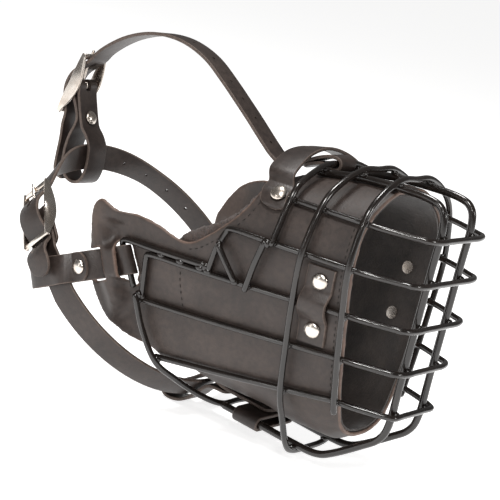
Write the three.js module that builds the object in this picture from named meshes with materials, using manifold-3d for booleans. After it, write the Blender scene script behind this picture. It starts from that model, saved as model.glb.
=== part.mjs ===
// Wire basket muzzle for a large dog: welded wire basket, leather liner and leather harness.
// Millimetres. The nose points along -Y, the dog's right is -X, +Z is up.
// The origin is the middle of the liner's front rim.
import * as THREE from 'three';
import { mergeVertices } from 'three/addons/utils/BufferGeometryUtils.js';
import Module from 'manifold-3d';

const wasm = await Module();
wasm.setup();

// ---------- driving dimensions ----------
const GAP = 0.35;                 // clearance between touching pieces
const BAR_R = 2.75;               // two long bars that run round the nose
const LOOP_R = 2.2;               // five level loops round the sides and nose
const HOOP_R = 2.3;               // hoops, rim and eye wires
const SIDES = 6;                  // flats on a wire's section

const BAR_X = 20.7;               // bars' distance from the mid-plane
const BAR_Y = -34;                // bars' face across the nose
const TOP_Z = 86.6;               // bars' height over the nose
const TOP_SAG = 0.00175;          // how the top falls towards the rear, per mm squared
const NOSE_CORNER = 0.76;         // nose corner's half width over the basket's
const SPREAD = 0.24;              // how the sides open towards the rear
const SPREAD_EASE = 0.0005;

// Five level loops, top to bottom: height and half width at the origin's plane, fall per mm of length,
// and how much of the sides' spread the loop takes.
const LEVELS = [
  { z: 63, w: 54.5, fall: 0.01, open: 0.6 },
  { z: 32, w: 61.5, fall: 0.005, open: 0.9 },
  { z: 0, w: 57.5, fall: 0.045, open: 1 },
  { z: -31.5, w: 51.5, fall: 0.07, open: 1 },
  { z: -63.5, w: 43.5, fall: 0.125, open: 1 },
];
const REAR_Y = [59, 90, 150, 157, 137];   // where each loop's long side ends

const LEATHER = 2.5;              // straps
const LINER = 3.2;                // liner leather
const SKIN = LOOP_R + 1;          // liner's outer face inside the loops' middles
const LINING = 1.5;               // suede lining
const PAD = 6;                    // felt on the nose bridge
const RIM_LEAN = 0.054;           // front hoop and rim lean back with height

const NECK_R = 102;               // neck strap's loop
const NECK_Y = 214.6;
const NECK_Z = -45;
const NECK_TILT = THREE.MathUtils.degToRad(41.5);
const RIVET_R = 1.6;
const STRAP_W = 20;
const CHEEK_W = 21.5;
const BUCKLE_AT = 60;             // near buckle's place round the neck, degrees from the nape

const BUCKLE_HALF = 24;           // centre bar to end bar
const BUCKLE_RISE = 3.3;          // end bars stand this far outside the centre bar
const BUCKLE_BAR_R = 1.6;
const PLATE_IN = 11.4;            // buckle's side plates, inner face
const PLATE_T = 1.8;

const BLACK_WIRE = { color: 0x15110f, roughness: 0.22, metalness: 0.2 };
const BLACK_LEATHER = { color: 0x2b2523, roughness: 0.55, metalness: 0 };
const BROWN_SUEDE = { color: 0x3a2c26, roughness: 0.95, metalness: 0 };
const FELT = { color: 0x33261f, roughness: 1, metalness: 0 };
const NICKEL = { color: 0xcfc3b2, roughness: 0.25, metalness: 1 };

const group = new THREE.Group();

// ---------- small helpers ----------
const v3 = (x, y, z) => new THREE.Vector3(x, y, z);

function add(name, geometry, look) {
  const mesh = new THREE.Mesh(geometry, new THREE.MeshStandardMaterial(look));
  mesh.name = name;
  group.add(mesh);
  return mesh;
}

function solid(geometry) {
  const bare = geometry.clone();
  for (const key of Object.keys(bare.attributes)) {
    if (key !== 'position') bare.deleteAttribute(key);
  }
  const merged = mergeVertices(bare, 1e-3);
  return new wasm.Manifold(new wasm.Mesh({
    numProp: 3,
    vertProperties: new Float32Array(merged.attributes.position.array),
    triVerts: new Uint32Array(merged.index.array),
  }));
}

function geometryOf(manifold) {
  const mesh = manifold.getMesh();
  const geometry = new THREE.BufferGeometry();
  geometry.setAttribute('position', new THREE.BufferAttribute(new Float32Array(mesh.vertProperties), 3));
  geometry.setIndex(new THREE.BufferAttribute(new Uint32Array(mesh.triVerts), 1));
  return geometry;
}

// The largest closed piece of a cut solid.
function largest(manifold) {
  const pieces = manifold.decompose();
  return pieces.reduce((a, b) => (a.volume() > b.volume() ? a : b));
}

function polygonShape(points) {
  return new THREE.Shape(points.map(([x, y]) => new THREE.Vector2(x, y)));
}

// A wire along a curve through points.
function wire(points, radius, steps, tension = 0.5) {
  const path = new THREE.CatmullRomCurve3(points, false, 'catmullrom', tension);
  const ring = [];
  for (let i = 0; i < SIDES; i += 1) {
    const a = (i / SIDES) * 2 * Math.PI;
    ring.push([radius * Math.cos(a), radius * Math.sin(a)]);
  }
  return new THREE.ExtrudeGeometry(polygonShape(ring), { steps, extrudePath: path, bevelEnabled: false });
}

// A closed solid through a row of sections, each a list of corners in the same order.
function loft(sections) {
  const count = sections[0].length;
  const positions = sections.flat().flatMap((p) => [p.x, p.y, p.z]);
  const index = [];
  for (let s = 0; s < sections.length - 1; s += 1) {
    for (let i = 0; i < count; i += 1) {
      const a = s * count + i;
      const b = s * count + ((i + 1) % count);
      index.push(a, b, b + count, a, b + count, a + count);
    }
  }
  const last = (sections.length - 1) * count;
  for (let i = 1; i < count - 1; i += 1) {
    index.push(0, i + 1, i, last, last + i, last + i + 1);
  }
  const geometry = new THREE.BufferGeometry();
  geometry.setAttribute('position', new THREE.Float32BufferAttribute(positions, 3));
  geometry.setIndex(index);
  return solid(geometry).volume() < 0 ? flipped(geometry) : geometry;
}

function flipped(geometry) {
  const index = Array.from(geometry.index.array);
  for (let i = 0; i < index.length; i += 3) [index[i + 1], index[i + 2]] = [index[i + 2], index[i + 1]];
  geometry.setIndex(index);
  return geometry;
}

// A flat strap: stations give its centre, the direction of its width and of its thickness.
function strap(stations, width, thickness) {
  return loft(stations.map(({ centre, across, out }) => [
    [0.5, 0.5], [-0.5, 0.5], [-0.5, -0.5], [0.5, -0.5],
  ].map(([a, b]) => centre.clone()
    .addScaledVector(across, a * width)
    .addScaledVector(out, b * thickness))));
}

// Points on a smooth planar curve, with the normals to its right-hand side.
function planarPath(points, count, closed = false) {
  const curve = new THREE.CatmullRomCurve3(points.map(([a, b]) => v3(a, b, 0)), closed, 'centripetal');
  const rows = [];
  const total = closed ? count - 1 : count;
  for (let i = 0; i <= total; i += 1) {
    const u = i / count;
    const p = curve.getPointAt(u);
    const t = curve.getTangentAt(u);
    rows.push({ a: p.x, b: p.y, na: t.y, nb: -t.x });
  }
  return rows;
}

// A strap whose centre line lies in a plane. frame maps (a, b) to space and names the width's direction.
function planarStrap(points, count, width, thickness, frame) {
  const stations = planarPath(points, count).map(({ a, b, na, nb }) => ({
    centre: frame.at(a, b),
    across: frame.across,
    out: frame.at(na, nb).sub(frame.at(0, 0)),
  }));
  return strap(stations, width, thickness);
}

function boxAt(frame, a, b, sizeA, sizeB, sizeW) {
  const corner = (i, j, k) => frame.at(a + i * sizeA / 2, b + j * sizeB / 2)
    .addScaledVector(frame.across, k * sizeW / 2);
  const ends = [-1, 1].map((i) => [[-1, -1], [1, -1], [1, 1], [-1, 1]].map(([j, k]) => corner(i, j, k)));
  return loft(ends);
}

// A round pin along the frame's width direction.
function pinAt(frame, a, b, radius, length, sides = 10) {
  const ends = [-0.5, 0.5].map((k) => {
    const ring = [];
    for (let i = 0; i < sides; i += 1) {
      const turn = (i / sides) * 2 * Math.PI;
      ring.push(frame.at(a + radius * Math.cos(turn), b + radius * Math.sin(turn))
        .addScaledVector(frame.across, k * length));
    }
    return ring;
  });
  return loft(ends);
}

// A plate in the frame's (a, b) plane between two places along its width direction.
function plateAt(frame, outline, from, to) {
  return loft([from, to].map((k) => outline.map(([a, b]) => frame.at(a, b).addScaledVector(frame.across, k))));
}

function cut(geometry, ...tools) {
  let body = solid(geometry);
  for (const tool of tools) body = body.subtract(solid(tool));
  return geometryOf(largest(body));
}

function joined(...geometries) {
  let body = solid(geometries[0]);
  for (const other of geometries.slice(1)) body = body.add(solid(other));
  return geometryOf(body);
}

// A domed rivet: its cap's back face is at the point, its shank runs inwards through the grip
// to a flat inner head.
function rivet(point, out, capR, grip, headR) {
  const profile = [
    [0, -grip - 1], [headR, -grip - 1], [headR, -grip], [RIVET_R, -grip], [RIVET_R, 0], [capR, 0], [capR, 0.7],
    [capR * 0.72, 2], [0, 2.7],
  ].filter(([r], i, rows) => i === 0 || r !== rows[i - 1][0] || rows[i][1] !== rows[i - 1][1])
    .map(([r, h]) => new THREE.Vector2(r, h));
  const geometry = new THREE.LatheGeometry(profile, 10);
  geometry.applyQuaternion(new THREE.Quaternion().setFromUnitVectors(v3(0, 1, 0), out.clone().normalize()));
  geometry.translate(point.x, point.y, point.z);
  return geometry;
}

function smoothStep(from, to, value) {
  const t = THREE.MathUtils.clamp((value - from) / (to - from), 0, 1);
  return t * t * (3 - 2 * t);
}

const sideName = (side) => (side < 0 ? 'near' : 'far');

// ---------- the basket's shape ----------
const spread = (y) => (y > 0 ? SPREAD * y - SPREAD_EASE * y * y : 0);
const levelZ = (i, y) => LEVELS[i].z - LEVELS[i].fall * Math.max(y, 0);
const levelW = (i, y) => LEVELS[i].w + LEVELS[i].open * spread(y);
const topZ = (y) => TOP_Z - TOP_SAG * Math.min(Math.max(y, 0), 95) ** 2;

// Right half of the basket's cross-section at y, from the top's middle to the lowest loop.
function halfSection(y) {
  const points = [[0, topZ(y) + 0.8], [BAR_X, topZ(y)]];
  for (let i = 0; i < LEVELS.length; i += 1) points.push([levelW(i, y), levelZ(i, y)]);
  return points;
}

// Half width of the basket's side at y and height z, on a smooth curve through the level loops.
function sideX(y, z) {
  const points = [...halfSection(y).slice(1), [28 + spread(y) / 2, -92]];
  const curve = new THREE.CatmullRomCurve3(points.map(([x, h]) => v3(x, h, 0)), false, 'centripetal');
  let low = 0;
  let high = 1;
  for (let i = 0; i < 30; i += 1) {
    const middle = (low + high) / 2;
    if (curve.getPoint(middle).y > z) low = middle;
    else high = middle;
  }
  return curve.getPoint(low).x;
}

// A point a distance outside the middle of a level loop at y, square to the basket's section there.
function outsideLoop(i, y, distance) {
  const points = [...halfSection(y), [28 + spread(y) / 2, -92]];
  const [before, here, after] = [points[i + 1], points[i + 2], points[i + 3]];
  const tangent = new THREE.Vector2(after[0] - before[0], after[1] - before[1]).normalize();
  return [here[0] - tangent.y * distance, here[1] + tangent.x * distance];
}

// A hoop's centre line: rows of [half width, height, y] from one side's low end over the top and down.
function hoopPoints(rows) {
  const right = rows.map(([x, z, y]) => v3(x, y, z));
  const left = rows.slice().reverse().filter(([x]) => x > 0).map(([x, z, y]) => v3(-x, y, z));
  return [...right.reverse(), ...left.reverse()];
}

// The cheek bands run back and down from the middle of each eye wire's leg: u along the band,
// w along the leg. Frames map (u, half width) to space.
const EYE = { y: 169.9, z: -17.2 };
const CHEEK_FALL = THREE.MathUtils.degToRad(26);
const LEG = [12.6, 6, 0, -6, -12, -18.5];
const LEG_X = sideX(EYE.y, EYE.z);
const LEG_SLOPE = (sideX(EYE.y + 5, EYE.z + 10) - sideX(EYE.y - 7, EYE.z - 15)) / 28;

const alongCheek = (y, z) => (y - EYE.y) * Math.cos(CHEEK_FALL) - (z - EYE.z) * Math.sin(CHEEK_FALL);
const acrossCheek = (y, z) => (y - EYE.y) * Math.sin(CHEEK_FALL) + (z - EYE.z) * Math.cos(CHEEK_FALL);
const cheekPlace = (u, w) => [
  EYE.y + u * Math.cos(CHEEK_FALL) + w * Math.sin(CHEEK_FALL),
  EYE.z - u * Math.sin(CHEEK_FALL) + w * Math.cos(CHEEK_FALL),
];

function cheekFrame(side) {
  return {
    at: (u, x) => v3(side * x, ...cheekPlace(u, 0)),
    across: v3(side * LEG_SLOPE, Math.sin(CHEEK_FALL), Math.cos(CHEEK_FALL)).normalize(),
  };
}

// ---------- basket wires ----------
function addLoops() {
  const faceY = BAR_Y - BAR_R - LOOP_R - 2 * GAP;
  LEVELS.forEach((level, i) => {
    const corner = level.w * NOSE_CORNER;
    const half = [
      v3(12, faceY, level.z),
      v3(Math.max(corner - 15, BAR_X + 4), faceY, level.z),
      v3(corner - 4, faceY + 3.4, level.z),
      v3(corner + 0.5, faceY + 11, level.z),
      v3(corner + (level.w - corner) * 0.72, -12, level.z),
      v3(level.w + 0.3, 0, level.z),
      v3(levelW(i, 12), 12, levelZ(i, 12)),
    ];
    for (let y = 30; y < REAR_Y[i] - 14; y += 30) half.push(v3(levelW(i, y), y, levelZ(i, y)));
    half.push(v3(levelW(i, REAR_Y[i]), REAR_Y[i], levelZ(i, REAR_Y[i])));
    if (i === 1) half.push(...rearLeg(1, 90, 103, levelZ(2, 103) + LOOP_R + 1.2));
    if (i === 2) half.push(...rearLeg(2, 150, 154, levelZ(3, 154) + 2 * LOOP_R + GAP + 0.4));
    const other = half.map((p) => v3(-p.x, p.y, p.z)).reverse();
    add(`loop_wire_${i + 1}`, wire([...other, ...half], LOOP_R, i === 0 ? 30 : 42), BLACK_WIRE);
  });
}

// A loop's rear corner and its short leg down to the next wire.
function rearLeg(i, fromY, toY, endZ) {
  const startZ = levelZ(i, fromY);
  const x = levelW(i, fromY);
  return [
    v3(x + 0.3, fromY + (toY - fromY) * 0.25 + 2.5, startZ - 3.5),
    v3(sideX(toY, (startZ + endZ) / 2), fromY + (toY - fromY) * 0.6 + 1.5, (startZ + endZ) / 2),
    v3(sideX(toY, endZ) + 0.2, toY, endZ),
  ];
}

function addBars() {
  for (const side of [-1, 1]) {
    const x = side * BAR_X;
    const points = [
      v3(x, 69, topZ(69)), v3(x, 35, topZ(35)), v3(x, 4, TOP_Z), v3(x, -18, TOP_Z),
      v3(x, -29.5, TOP_Z - 3.8), v3(x, BAR_Y, TOP_Z - 16), v3(x, BAR_Y, 40), v3(x, BAR_Y, 0),
      v3(x, BAR_Y, -40), v3(x, BAR_Y, -70), v3(x, -29.5, -83.5), v3(x, -17, -94),
      v3(x, 3, -108), v3(x, 15, -113.4), v3(x, 32, -114), v3(x, 64, -112.4), v3(x, 99.5, -110.6),
    ];
    add(`long_bar_${sideName(side)}`, wire(points, BAR_R, 38), BLACK_WIRE);
  }
}

// Height of the long bars' underside run at y.
const barBottomZ = (y) => -114 + (y - 32) * 0.05;

function addHoops() {
  const out = LOOP_R + HOOP_R + GAP + 0.15;
  const over = BAR_R + HOOP_R + GAP + 0.1;
  const level = (i, y) => [...outsideLoop(i, y, out), y];
  const lean = (z) => RIM_LEAN * z;
  const top = (y) => [[0, topZ(y) + over + 0.3, y], [BAR_X, topZ(y) + over, y]];
  const shoulder = (y) => [42 + spread(y) * 0.5, topZ(y) - 3.6, y];

  const front = [...top(lean(90)), shoulder(lean(80)), level(0, 3.4), level(1, 1.7), level(2, 0),
    level(3, -1.7), level(4, -3.4), [outsideLoop(4, 0, out)[0] - 1.8, -70, -3.8]];
  add('hoop_front', wire(hoopPoints(front), HOOP_R, 36), BLACK_WIRE);

  const y = 35.4;
  const low = barBottomZ(y) - over;
  const ring = [...top(y), shoulder(y), level(0, y), level(1, y), level(2, y), level(3, y), level(4, y),
    [43.5, -93, y], [31, low + 6.5, y], [BAR_X, low, y], [0, low - 1, y]];
  add('hoop_middle', closedHoop(ring), BLACK_WIRE);

  const rear = [...top(65), shoulder(62), level(0, 58.5), level(1, 58)];
  add('hoop_rear', wire(hoopPoints(rear), HOOP_R, 22), BLACK_WIRE);
  for (const side of [-1, 1]) {
    const foot = outsideLoop(2, 70, out);
    const head = outsideLoop(1, 63, out);
    add(`side_strut_${sideName(side)}`, wire([v3(side * (head[0] - 0.2), 63.5, head[1] - 1.5),
      v3(side * (foot[0] + 1.6), 67, 14), v3(side * foot[0], 70.5, foot[1] - 1)], HOOP_R, 5), BLACK_WIRE);
  }
}

// A hoop that closes on itself: two half wires joined, or one full turn of sections.
function closedHoop(rows) {
  const right = rows.map(([x, z, y]) => v3(x, y, z));
  const left = rows.slice(1, -1).reverse().map(([x, z, y]) => v3(-x, y, z));
  const curve = new THREE.CatmullRomCurve3([...right, ...left], true, 'catmullrom', 0.5);
  const steps = 46;
  const sections = [];
  for (let s = 0; s < steps; s += 1) {
    const p = curve.getPointAt(s / steps);
    const t = curve.getTangentAt(s / steps);
    const inPlane = v3(t.z, 0, -t.x).normalize();
    const ring = [];
    for (let i = 0; i < SIDES; i += 1) {
      const a = (i / SIDES) * 2 * Math.PI;
      ring.push(p.clone().addScaledVector(inPlane, HOOP_R * Math.cos(a)).add(v3(0, HOOP_R * Math.sin(a), 0)));
    }
    sections.push(ring);
  }
  return ringLoft(sections);
}

// A closed loop of sections.
function ringLoft(sections) {
  const count = sections[0].length;
  const positions = sections.flat().flatMap((p) => [p.x, p.y, p.z]);
  const index = [];
  const total = sections.length;
  for (let s = 0; s < total; s += 1) {
    for (let i = 0; i < count; i += 1) {
      const a = s * count + i;
      const b = s * count + ((i + 1) % count);
      const c = ((s + 1) % total) * count + ((i + 1) % count);
      const d = ((s + 1) % total) * count + i;
      index.push(a, b, c, a, c, d);
    }
  }
  const geometry = new THREE.BufferGeometry();
  geometry.setAttribute('position', new THREE.Float32BufferAttribute(positions, 3));
  geometry.setIndex(index);
  return solid(geometry).volume() < 0 ? flipped(geometry) : geometry;
}

// The rim under the jaw: from each side's lower corner down and across behind the bars.
function addRim() {
  const out = LOOP_R + HOOP_R + GAP;
  const rows = [
    [0, -110.6, 102.9], [BAR_X, -110.2, 102.9], [36, -105.5, 112], [52, -96, 126],
    [...outsideLoop(4, 134, out), 134], [outsideLoop(3, 147, out)[0] - 3.4, -62, 147],
    [...outsideLoop(3, 154.5, out), 154.5], [outsideLoop(3, 156, out)[0] + 0.4, -39.5, 156],
  ];
  add('rim_wire', wire(hoopPoints(rows), HOOP_R, 36), BLACK_WIRE);
}

// Eye wires for the cheek straps, and the braces behind the rear hoop.
function addEyesAndBraces() {
  const lift = LOOP_R + HOOP_R + GAP;
  for (const side of [-1, 1]) {
    const on = (y, z, extra = 0) => v3(side * (sideX(y, z) + extra), y, z);
    const leg = LEG.map((w) => cheekFrame(side).at(0, LEG_X).addScaledVector(cheekFrame(side).across, w));
    const eye = [
      on(108, levelZ(2, 108) + lift), on(130, levelZ(2, 130) + lift), on(155, levelZ(2, 155) + lift),
      leg[0].clone().add(v3(0, -3.4, 3.2)), ...leg,
    ];
    add(`eye_wire_${sideName(side)}`, wire(eye, HOOP_R, 24), BLACK_WIRE);
    const braceOut = LOOP_R + HOOP_R + GAP;
    const brace = [on(95, 18, braceOut), on(88, 9, braceOut), on(80, -1, braceOut)];
    add(`brace_${sideName(side)}`, wire(brace, HOOP_R, 4), BLACK_WIRE);
  }
}

// ---------- leather sleeve ----------
// How far the liner's flaps stand out beyond the basket's line at half width x, behind the wires.
// The far flap has flexed: only its strip stands out, and its rear stands up straight.
function flapOut(x, y, z, far) {
  const u = alongCheek(y, z);
  const w = acrossCheek(y, z);
  const start = -14 + 1.6 * Math.max(0, -12 - w);
  const upright = far ? (1 - smoothStep(14, 27, w)) * (1 - smoothStep(27, 40, u)) : 1;
  const line = 94 - 4 * smoothStep(15, 27, u) - 0.35 * Math.max(0, -28 - z);
  return upright * Math.max(0, line - x) * smoothStep(start, start + 14, u) * smoothStep(30, 60, x);
}

// How far the sleeve hangs down between the long bars.
const keel = (y) => smoothStep(-4, 14, y) * (1 - 0.45 * smoothStep(45, 68, y));

// One ring of the sleeve at y, a distance inside the wires' centre surface.
function sleeveRing(y, inside, count) {
  const half = [...halfSection(y), [33 + spread(y) / 2, -86 - 3 * keel(y)],
    [18 + spread(y) / 3, -95.5 - 6 * keel(y)]];
  const right = half.map(([x, z]) => v3(x, y, z));
  const left = half.slice(1).reverse().map(([x, z]) => v3(-x, y, z));
  const curve = new THREE.CatmullRomCurve3([...right, v3(0, y, -98 - 9 * keel(y)), ...left], true, 'centripetal');
  const ring = [];
  for (let i = 0; i < count; i += 1) {
    const p = curve.getPointAt(i / count);
    const t = curve.getTangentAt(i / count);
    const inward = v3(-t.z, 0, t.x).normalize();
    if (inward.x * p.x + inward.z * (p.z + 5) > 0) inward.negate();
    p.addScaledVector(inward, inside);
    p.x += Math.sign(p.x) * flapOut(Math.abs(p.x) + inside - SKIN, y, p.z, p.x > 0);
    ring.push(p);
  }
  return ring;
}

// The side view of the liner, from the front rim round the nose bridge, the cheek flap and the throat.
const ARCH = [[86, 100], [86, 66], [88, 52], [94, 40], [103, 29], [112, 20], [120, 13.5], [128, 10.5]];
const FLAP = [[137, 11.5], [150, 15], [166, 17], [181, 17], [189, 19.5], [196, 21], [201, 16], [201.5, 4],
  [199, -12], [193, -36], [186, -50], [177, -64], [167, -71.5], [155, -74], [143, -74.5]];
const FAR_FLAP = [[138, 13], [148, 20], [157, 30], [166, 36], [175, 36.8], [184, 34.2], [193, 29.8], [201, 23.6],
  [208, 13.8], [213, 3.5], [216, -7], [214, -20], [205, -38], [191, -52], [177, -64], [167, -71.5],
  [155, -74], [143, -74.5]];
const THROAT = [[134, -82], [122, -91], [108, -97], [92, -103], [66, -112]];

function sleeve(outside, thickness, stations, count, outline, farOutline = outline) {
  const outer = loft(stations.map((y) => sleeveRing(y, outside, count)));
  const inner = loft([stations[0] - 2, ...stations.slice(1, -1), stations.at(-1) + 2]
    .map((y) => sleeveRing(y, outside + thickness, count)));
  const shape = throughSides(outline, -130, 0).add(throughSides(farOutline, 0, 130));
  return solid(outer).subtract(solid(inner)).intersect(shape);
}

const STATIONS = [-8, 0, 14, 35, 58, 72, 88, 104, 120, 136, 150, 157, 163, 169, 175, 181, 189, 197, 206, 220];
const AROUND = 38;
const rimY = (z, back = 0) => 1 + back + RIM_LEAN * z;

// A prism with the given side-view outline, through both sides of the basket unless told otherwise.
function throughSides(outline, from = -130, to = 130) {
  const shape = new THREE.ExtrudeGeometry(polygonShape(outline), { depth: to - from, bevelEnabled: false });
  shape.applyMatrix4(new THREE.Matrix4().makeBasis(v3(0, 1, 0), v3(0, 0, 1), v3(1, 0, 0)));
  shape.translate(from, 0, 0);
  return solid(shape);
}

function addLiner() {
  const outside = SKIN;
  const front = (back) => [[rimY(-112, back), -112], [rimY(100, back), 100]];
  const window = [[-8.5, -20], [-9.5, 2], [-16, 7], [-14, 15.5], [2.5, 19], [2.5, -20]]
    .map(([u, w]) => cheekPlace(u, w));
  const slot = [[14.5, 13.5], [29.5, 13.5], [29.5, -13.5], [14.5, -13.5]].map(([u, w]) => cheekPlace(u, w));
  let liner = sleeve(outside, LINER, STATIONS, AROUND, [...front(0), ...ARCH, ...FLAP, ...THROAT],
    [...front(0), ...ARCH, ...FAR_FLAP, ...THROAT]);
  liner = liner.subtract(throughSides(window)).subtract(throughSides(slot));
  for (const hole of rivetHoles()) liner = liner.subtract(hole);
  add('leather_liner', geometryOf(largest(liner)), BLACK_LEATHER);

  const inset = outside + LINER + GAP;
  const backEdge = [[84, 100], [84, 66], [86, 50], [93, 37], [103, 25], [113, 16], [122, 8], [140, 6],
    [148, -30], [142, -68], [120, -82], [98, -87], [74, -92], [62, -112]];
  let lining = sleeve(inset, LINING, STATIONS.slice(0, 11), AROUND, [...front(1.5), ...backEdge]);
  for (const hole of rivetHoles()) lining = lining.subtract(hole);
  add('suede_lining', geometryOf(largest(lining)), BROWN_SUEDE);

  const padOutline = [[66, 100], [66, 60], [72, 42], [86, 26], [104, 10], [120, 0], [134, 3], [136, 10],
    [126, 20], [112, 29], [101, 38], [93, 50], [90, 62], [88, 100]];
  const padInset = inset + LINING + GAP;
  const pad = sleeve(padInset, PAD, STATIONS.slice(4, 11), AROUND, padOutline);
  add('nose_pad', geometryOf(largest(pad)), FELT);
}

// ---------- straps riveted to the liner ----------
// The way out of the basket's side at y and z.
function sideNormal(side, y, z) {
  const slopeY = (sideX(y + 2, z) - sideX(y - 2, z)) / 4;
  const slopeZ = (sideX(y, z + 2) - sideX(y, z - 2)) / 4;
  return v3(side, -slopeY, -slopeZ).normalize();
}

// A rivet hole square to the side at y and z.
function sideHole(side, y, z) {
  const hole = new THREE.CylinderGeometry(RIVET_R + GAP, RIVET_R + GAP, 30, 8);
  hole.applyQuaternion(new THREE.Quaternion().setFromUnitVectors(v3(0, 1, 0), sideNormal(side, y, z)));
  hole.translate(side * (sideX(y, z) - SKIN), y, z);
  return hole;
}

const TAB_Y = 22;
const TAB_RIVETS = [17.5, -17.5];
const KEEPER_RIVET = { y: 70.5, z: 61 };

function rivetHoles() {
  return [-1, 1].flatMap((side) => [
    ...TAB_RIVETS.map((z) => solid(sideHole(side, TAB_Y, z))),
    solid(sideHole(side, KEEPER_RIVET.y, KEEPER_RIVET.z)),
  ]);
}

const TAB_SKIN = SKIN - LEATHER / 2 - GAP;     // tab's middle inside the loops' middles

function addSideTabs() {
  const slope = (sideX(TAB_Y + 5, 0) - sideX(TAB_Y - 5, 0)) / 10;
  const on = (z, extra = 0) => [sideX(TAB_Y, z) - TAB_SKIN + extra + 0.15, z];
  const hump = LOOP_R + LEATHER / 2 + GAP + TAB_SKIN + 0.3;
  const path = [on(27), on(18), on(11, 0.3), on(6, hump - 2.2), on(2.4, hump), on(-3.6, hump), on(-7.6, hump - 2.2),
    on(-12.5, 0.3), on(-19), on(-28)];
  for (const side of [-1, 1]) {
    const frame = { at: (a, b) => v3(side * a, TAB_Y, b), across: v3(side * slope, 1, 0).normalize() };
    const holes = TAB_RIVETS.map((z) => sideHole(side, TAB_Y, z));
    add(`side_tab_${sideName(side)}`, cut(planarStrap(path, 18, STRAP_W, LEATHER, frame), ...holes), BLACK_LEATHER);
    TAB_RIVETS.forEach((z, i) => {
      const out = sideNormal(side, TAB_Y, z);
      const skin = v3(side * (sideX(TAB_Y, z) - SKIN), TAB_Y, z);
      const grip = LEATHER + LINER + LINING + 3 * GAP + 0.7;
      add(`tab_rivet_${i ? 'low' : 'high'}_${sideName(side)}`,
        rivet(skin.addScaledVector(out, LEATHER + 2 * GAP + 0.25), out, 5.8, grip, 4.8), NICKEL);
    });
  }
}

// The strap across the nose bridge that holds the forehead strap down.
const keeperY = (z) => 71.5 + 0.5 * (z - 57);

function addKeeper() {
  const clear = SKIN - LEATHER / 2 - GAP - 1;
  const low = [53, 58, 63, 68].map((z) => [sideX(keeperY(z), z) - clear, z]);
  const half = [[0, 90], [13, 89.2], [27, 86.3], [40, 81.2], [50.5, 75]];
  const path = [...low, ...half.slice(1).reverse(), half[0], ...half.slice(1).map(([x, z]) => [-x, z]),
    ...low.slice().reverse().map(([x, z]) => [-x, z])];
  const stations = planarPath(path, 26).map(({ a, b, na, nb }) => ({
    centre: v3(a, keeperY(b), b),
    across: v3(0.12 * THREE.MathUtils.clamp(a / 50, -1, 1), 1, -0.25 * (1 - Math.min(Math.abs(a) / 50, 1))).normalize(),
    out: v3(na, 0, nb),
  }));
  const { y, z } = KEEPER_RIVET;
  const holes = [-1, 1].map((side) => sideHole(side, y, z));
  add('nose_keeper', cut(strap(stations, 20, LEATHER), ...holes), BLACK_LEATHER);
  for (const side of [-1, 1]) {
    const out = sideNormal(side, y, z);
    const skin = v3(side * (sideX(y, z) - SKIN), y, z);
    add(`keeper_rivet_${sideName(side)}`,
      rivet(skin.addScaledVector(out, LEATHER + 2 * GAP + 1.6), out, 5.8, LEATHER + LINER, RIVET_R), NICKEL);
  }
}

// ---------- buckles ----------
// A buckle's plane: a runs from the centre bar to the end that the prong rests on, b points outwards.
function leaf() {
  const outline = [];
  for (let i = 0; i <= 8; i += 1) {
    const t = -1 + i / 4;
    outline.push([t * (BUCKLE_HALF + 2.2), BUCKLE_RISE + 1.8 + 0.8 * (1 - t * t)]);
  }
  for (let i = 0; i <= 8; i += 1) {
    const t = 1 - i / 4;
    outline.push([t * (BUCKLE_HALF + 2.2), BUCKLE_RISE - 1.6 - 6.8 * (1 - t * t) ** 1.4]);
  }
  return outline;
}

function buckleFrame(frame) {
  const width = 2 * (PLATE_IN + PLATE_T);
  const plates = [-1, 1].map((k) => plateAt(frame, leaf(), k * PLATE_IN, k * (PLATE_IN + PLATE_T)));
  const bars = [[-BUCKLE_HALF, BUCKLE_RISE], [0, 0], [BUCKLE_HALF, BUCKLE_RISE]]
    .map(([a, b]) => pinAt(frame, a, b, BUCKLE_BAR_R, width - 0.6));
  return joined(...plates, ...bars);
}

function prong(frame) {
  const rest = BUCKLE_RISE + BUCKLE_BAR_R + 1.15;
  const eye = plateAt(frame, circle(0, 0, BUCKLE_BAR_R + GAP + 1.5, 12), -1.5, 1.5);
  const arm = planarStrap([[1.5, 3.0], [8, 4.4], [16, rest - 0.2], [27.5, rest + 0.1]], 6, 3, 1.9, frame);
  const hole = plateAt(frame, circle(0, 0, BUCKLE_BAR_R + GAP, 12), -3, 3);
  return cut(joined(eye, arm), hole);
}

function circle(a, b, r, sides) {
  const points = [];
  for (let i = 0; i < sides; i += 1) {
    const turn = (i / sides) * 2 * Math.PI;
    points.push([a + r * Math.cos(turn), b + r * Math.sin(turn)]);
  }
  return points;
}

// ---------- neck strap, in the tilted plane of its loop ----------
const neckUp = v3(0, Math.cos(NECK_TILT), Math.sin(NECK_TILT));
const neckAxis = v3(0, -Math.sin(NECK_TILT), Math.cos(NECK_TILT));
const neckCentre = v3(0, NECK_Y, NECK_Z);

const neckFrame = {
  at: (x, up) => neckCentre.clone().addScaledVector(v3(1, 0, 0), x).addScaledVector(neckUp, up),
  across: neckAxis,
};

// The near buckle's own frame, in the same plane.
const buckleTurn = THREE.MathUtils.degToRad(BUCKLE_AT);
const nearOut = v3(-Math.sin(buckleTurn), 0, 0).addScaledVector(neckUp, Math.cos(buckleTurn));
const nearAlong = v3(Math.cos(buckleTurn), 0, 0).addScaledVector(neckUp, Math.sin(buckleTurn));
const nearCentre = neckCentre.clone().addScaledVector(nearOut, NECK_R);
const nearFrame = {
  at: (a, b) => nearCentre.clone().addScaledVector(nearAlong, a).addScaledVector(nearOut, b),
  across: neckAxis,
};

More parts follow.
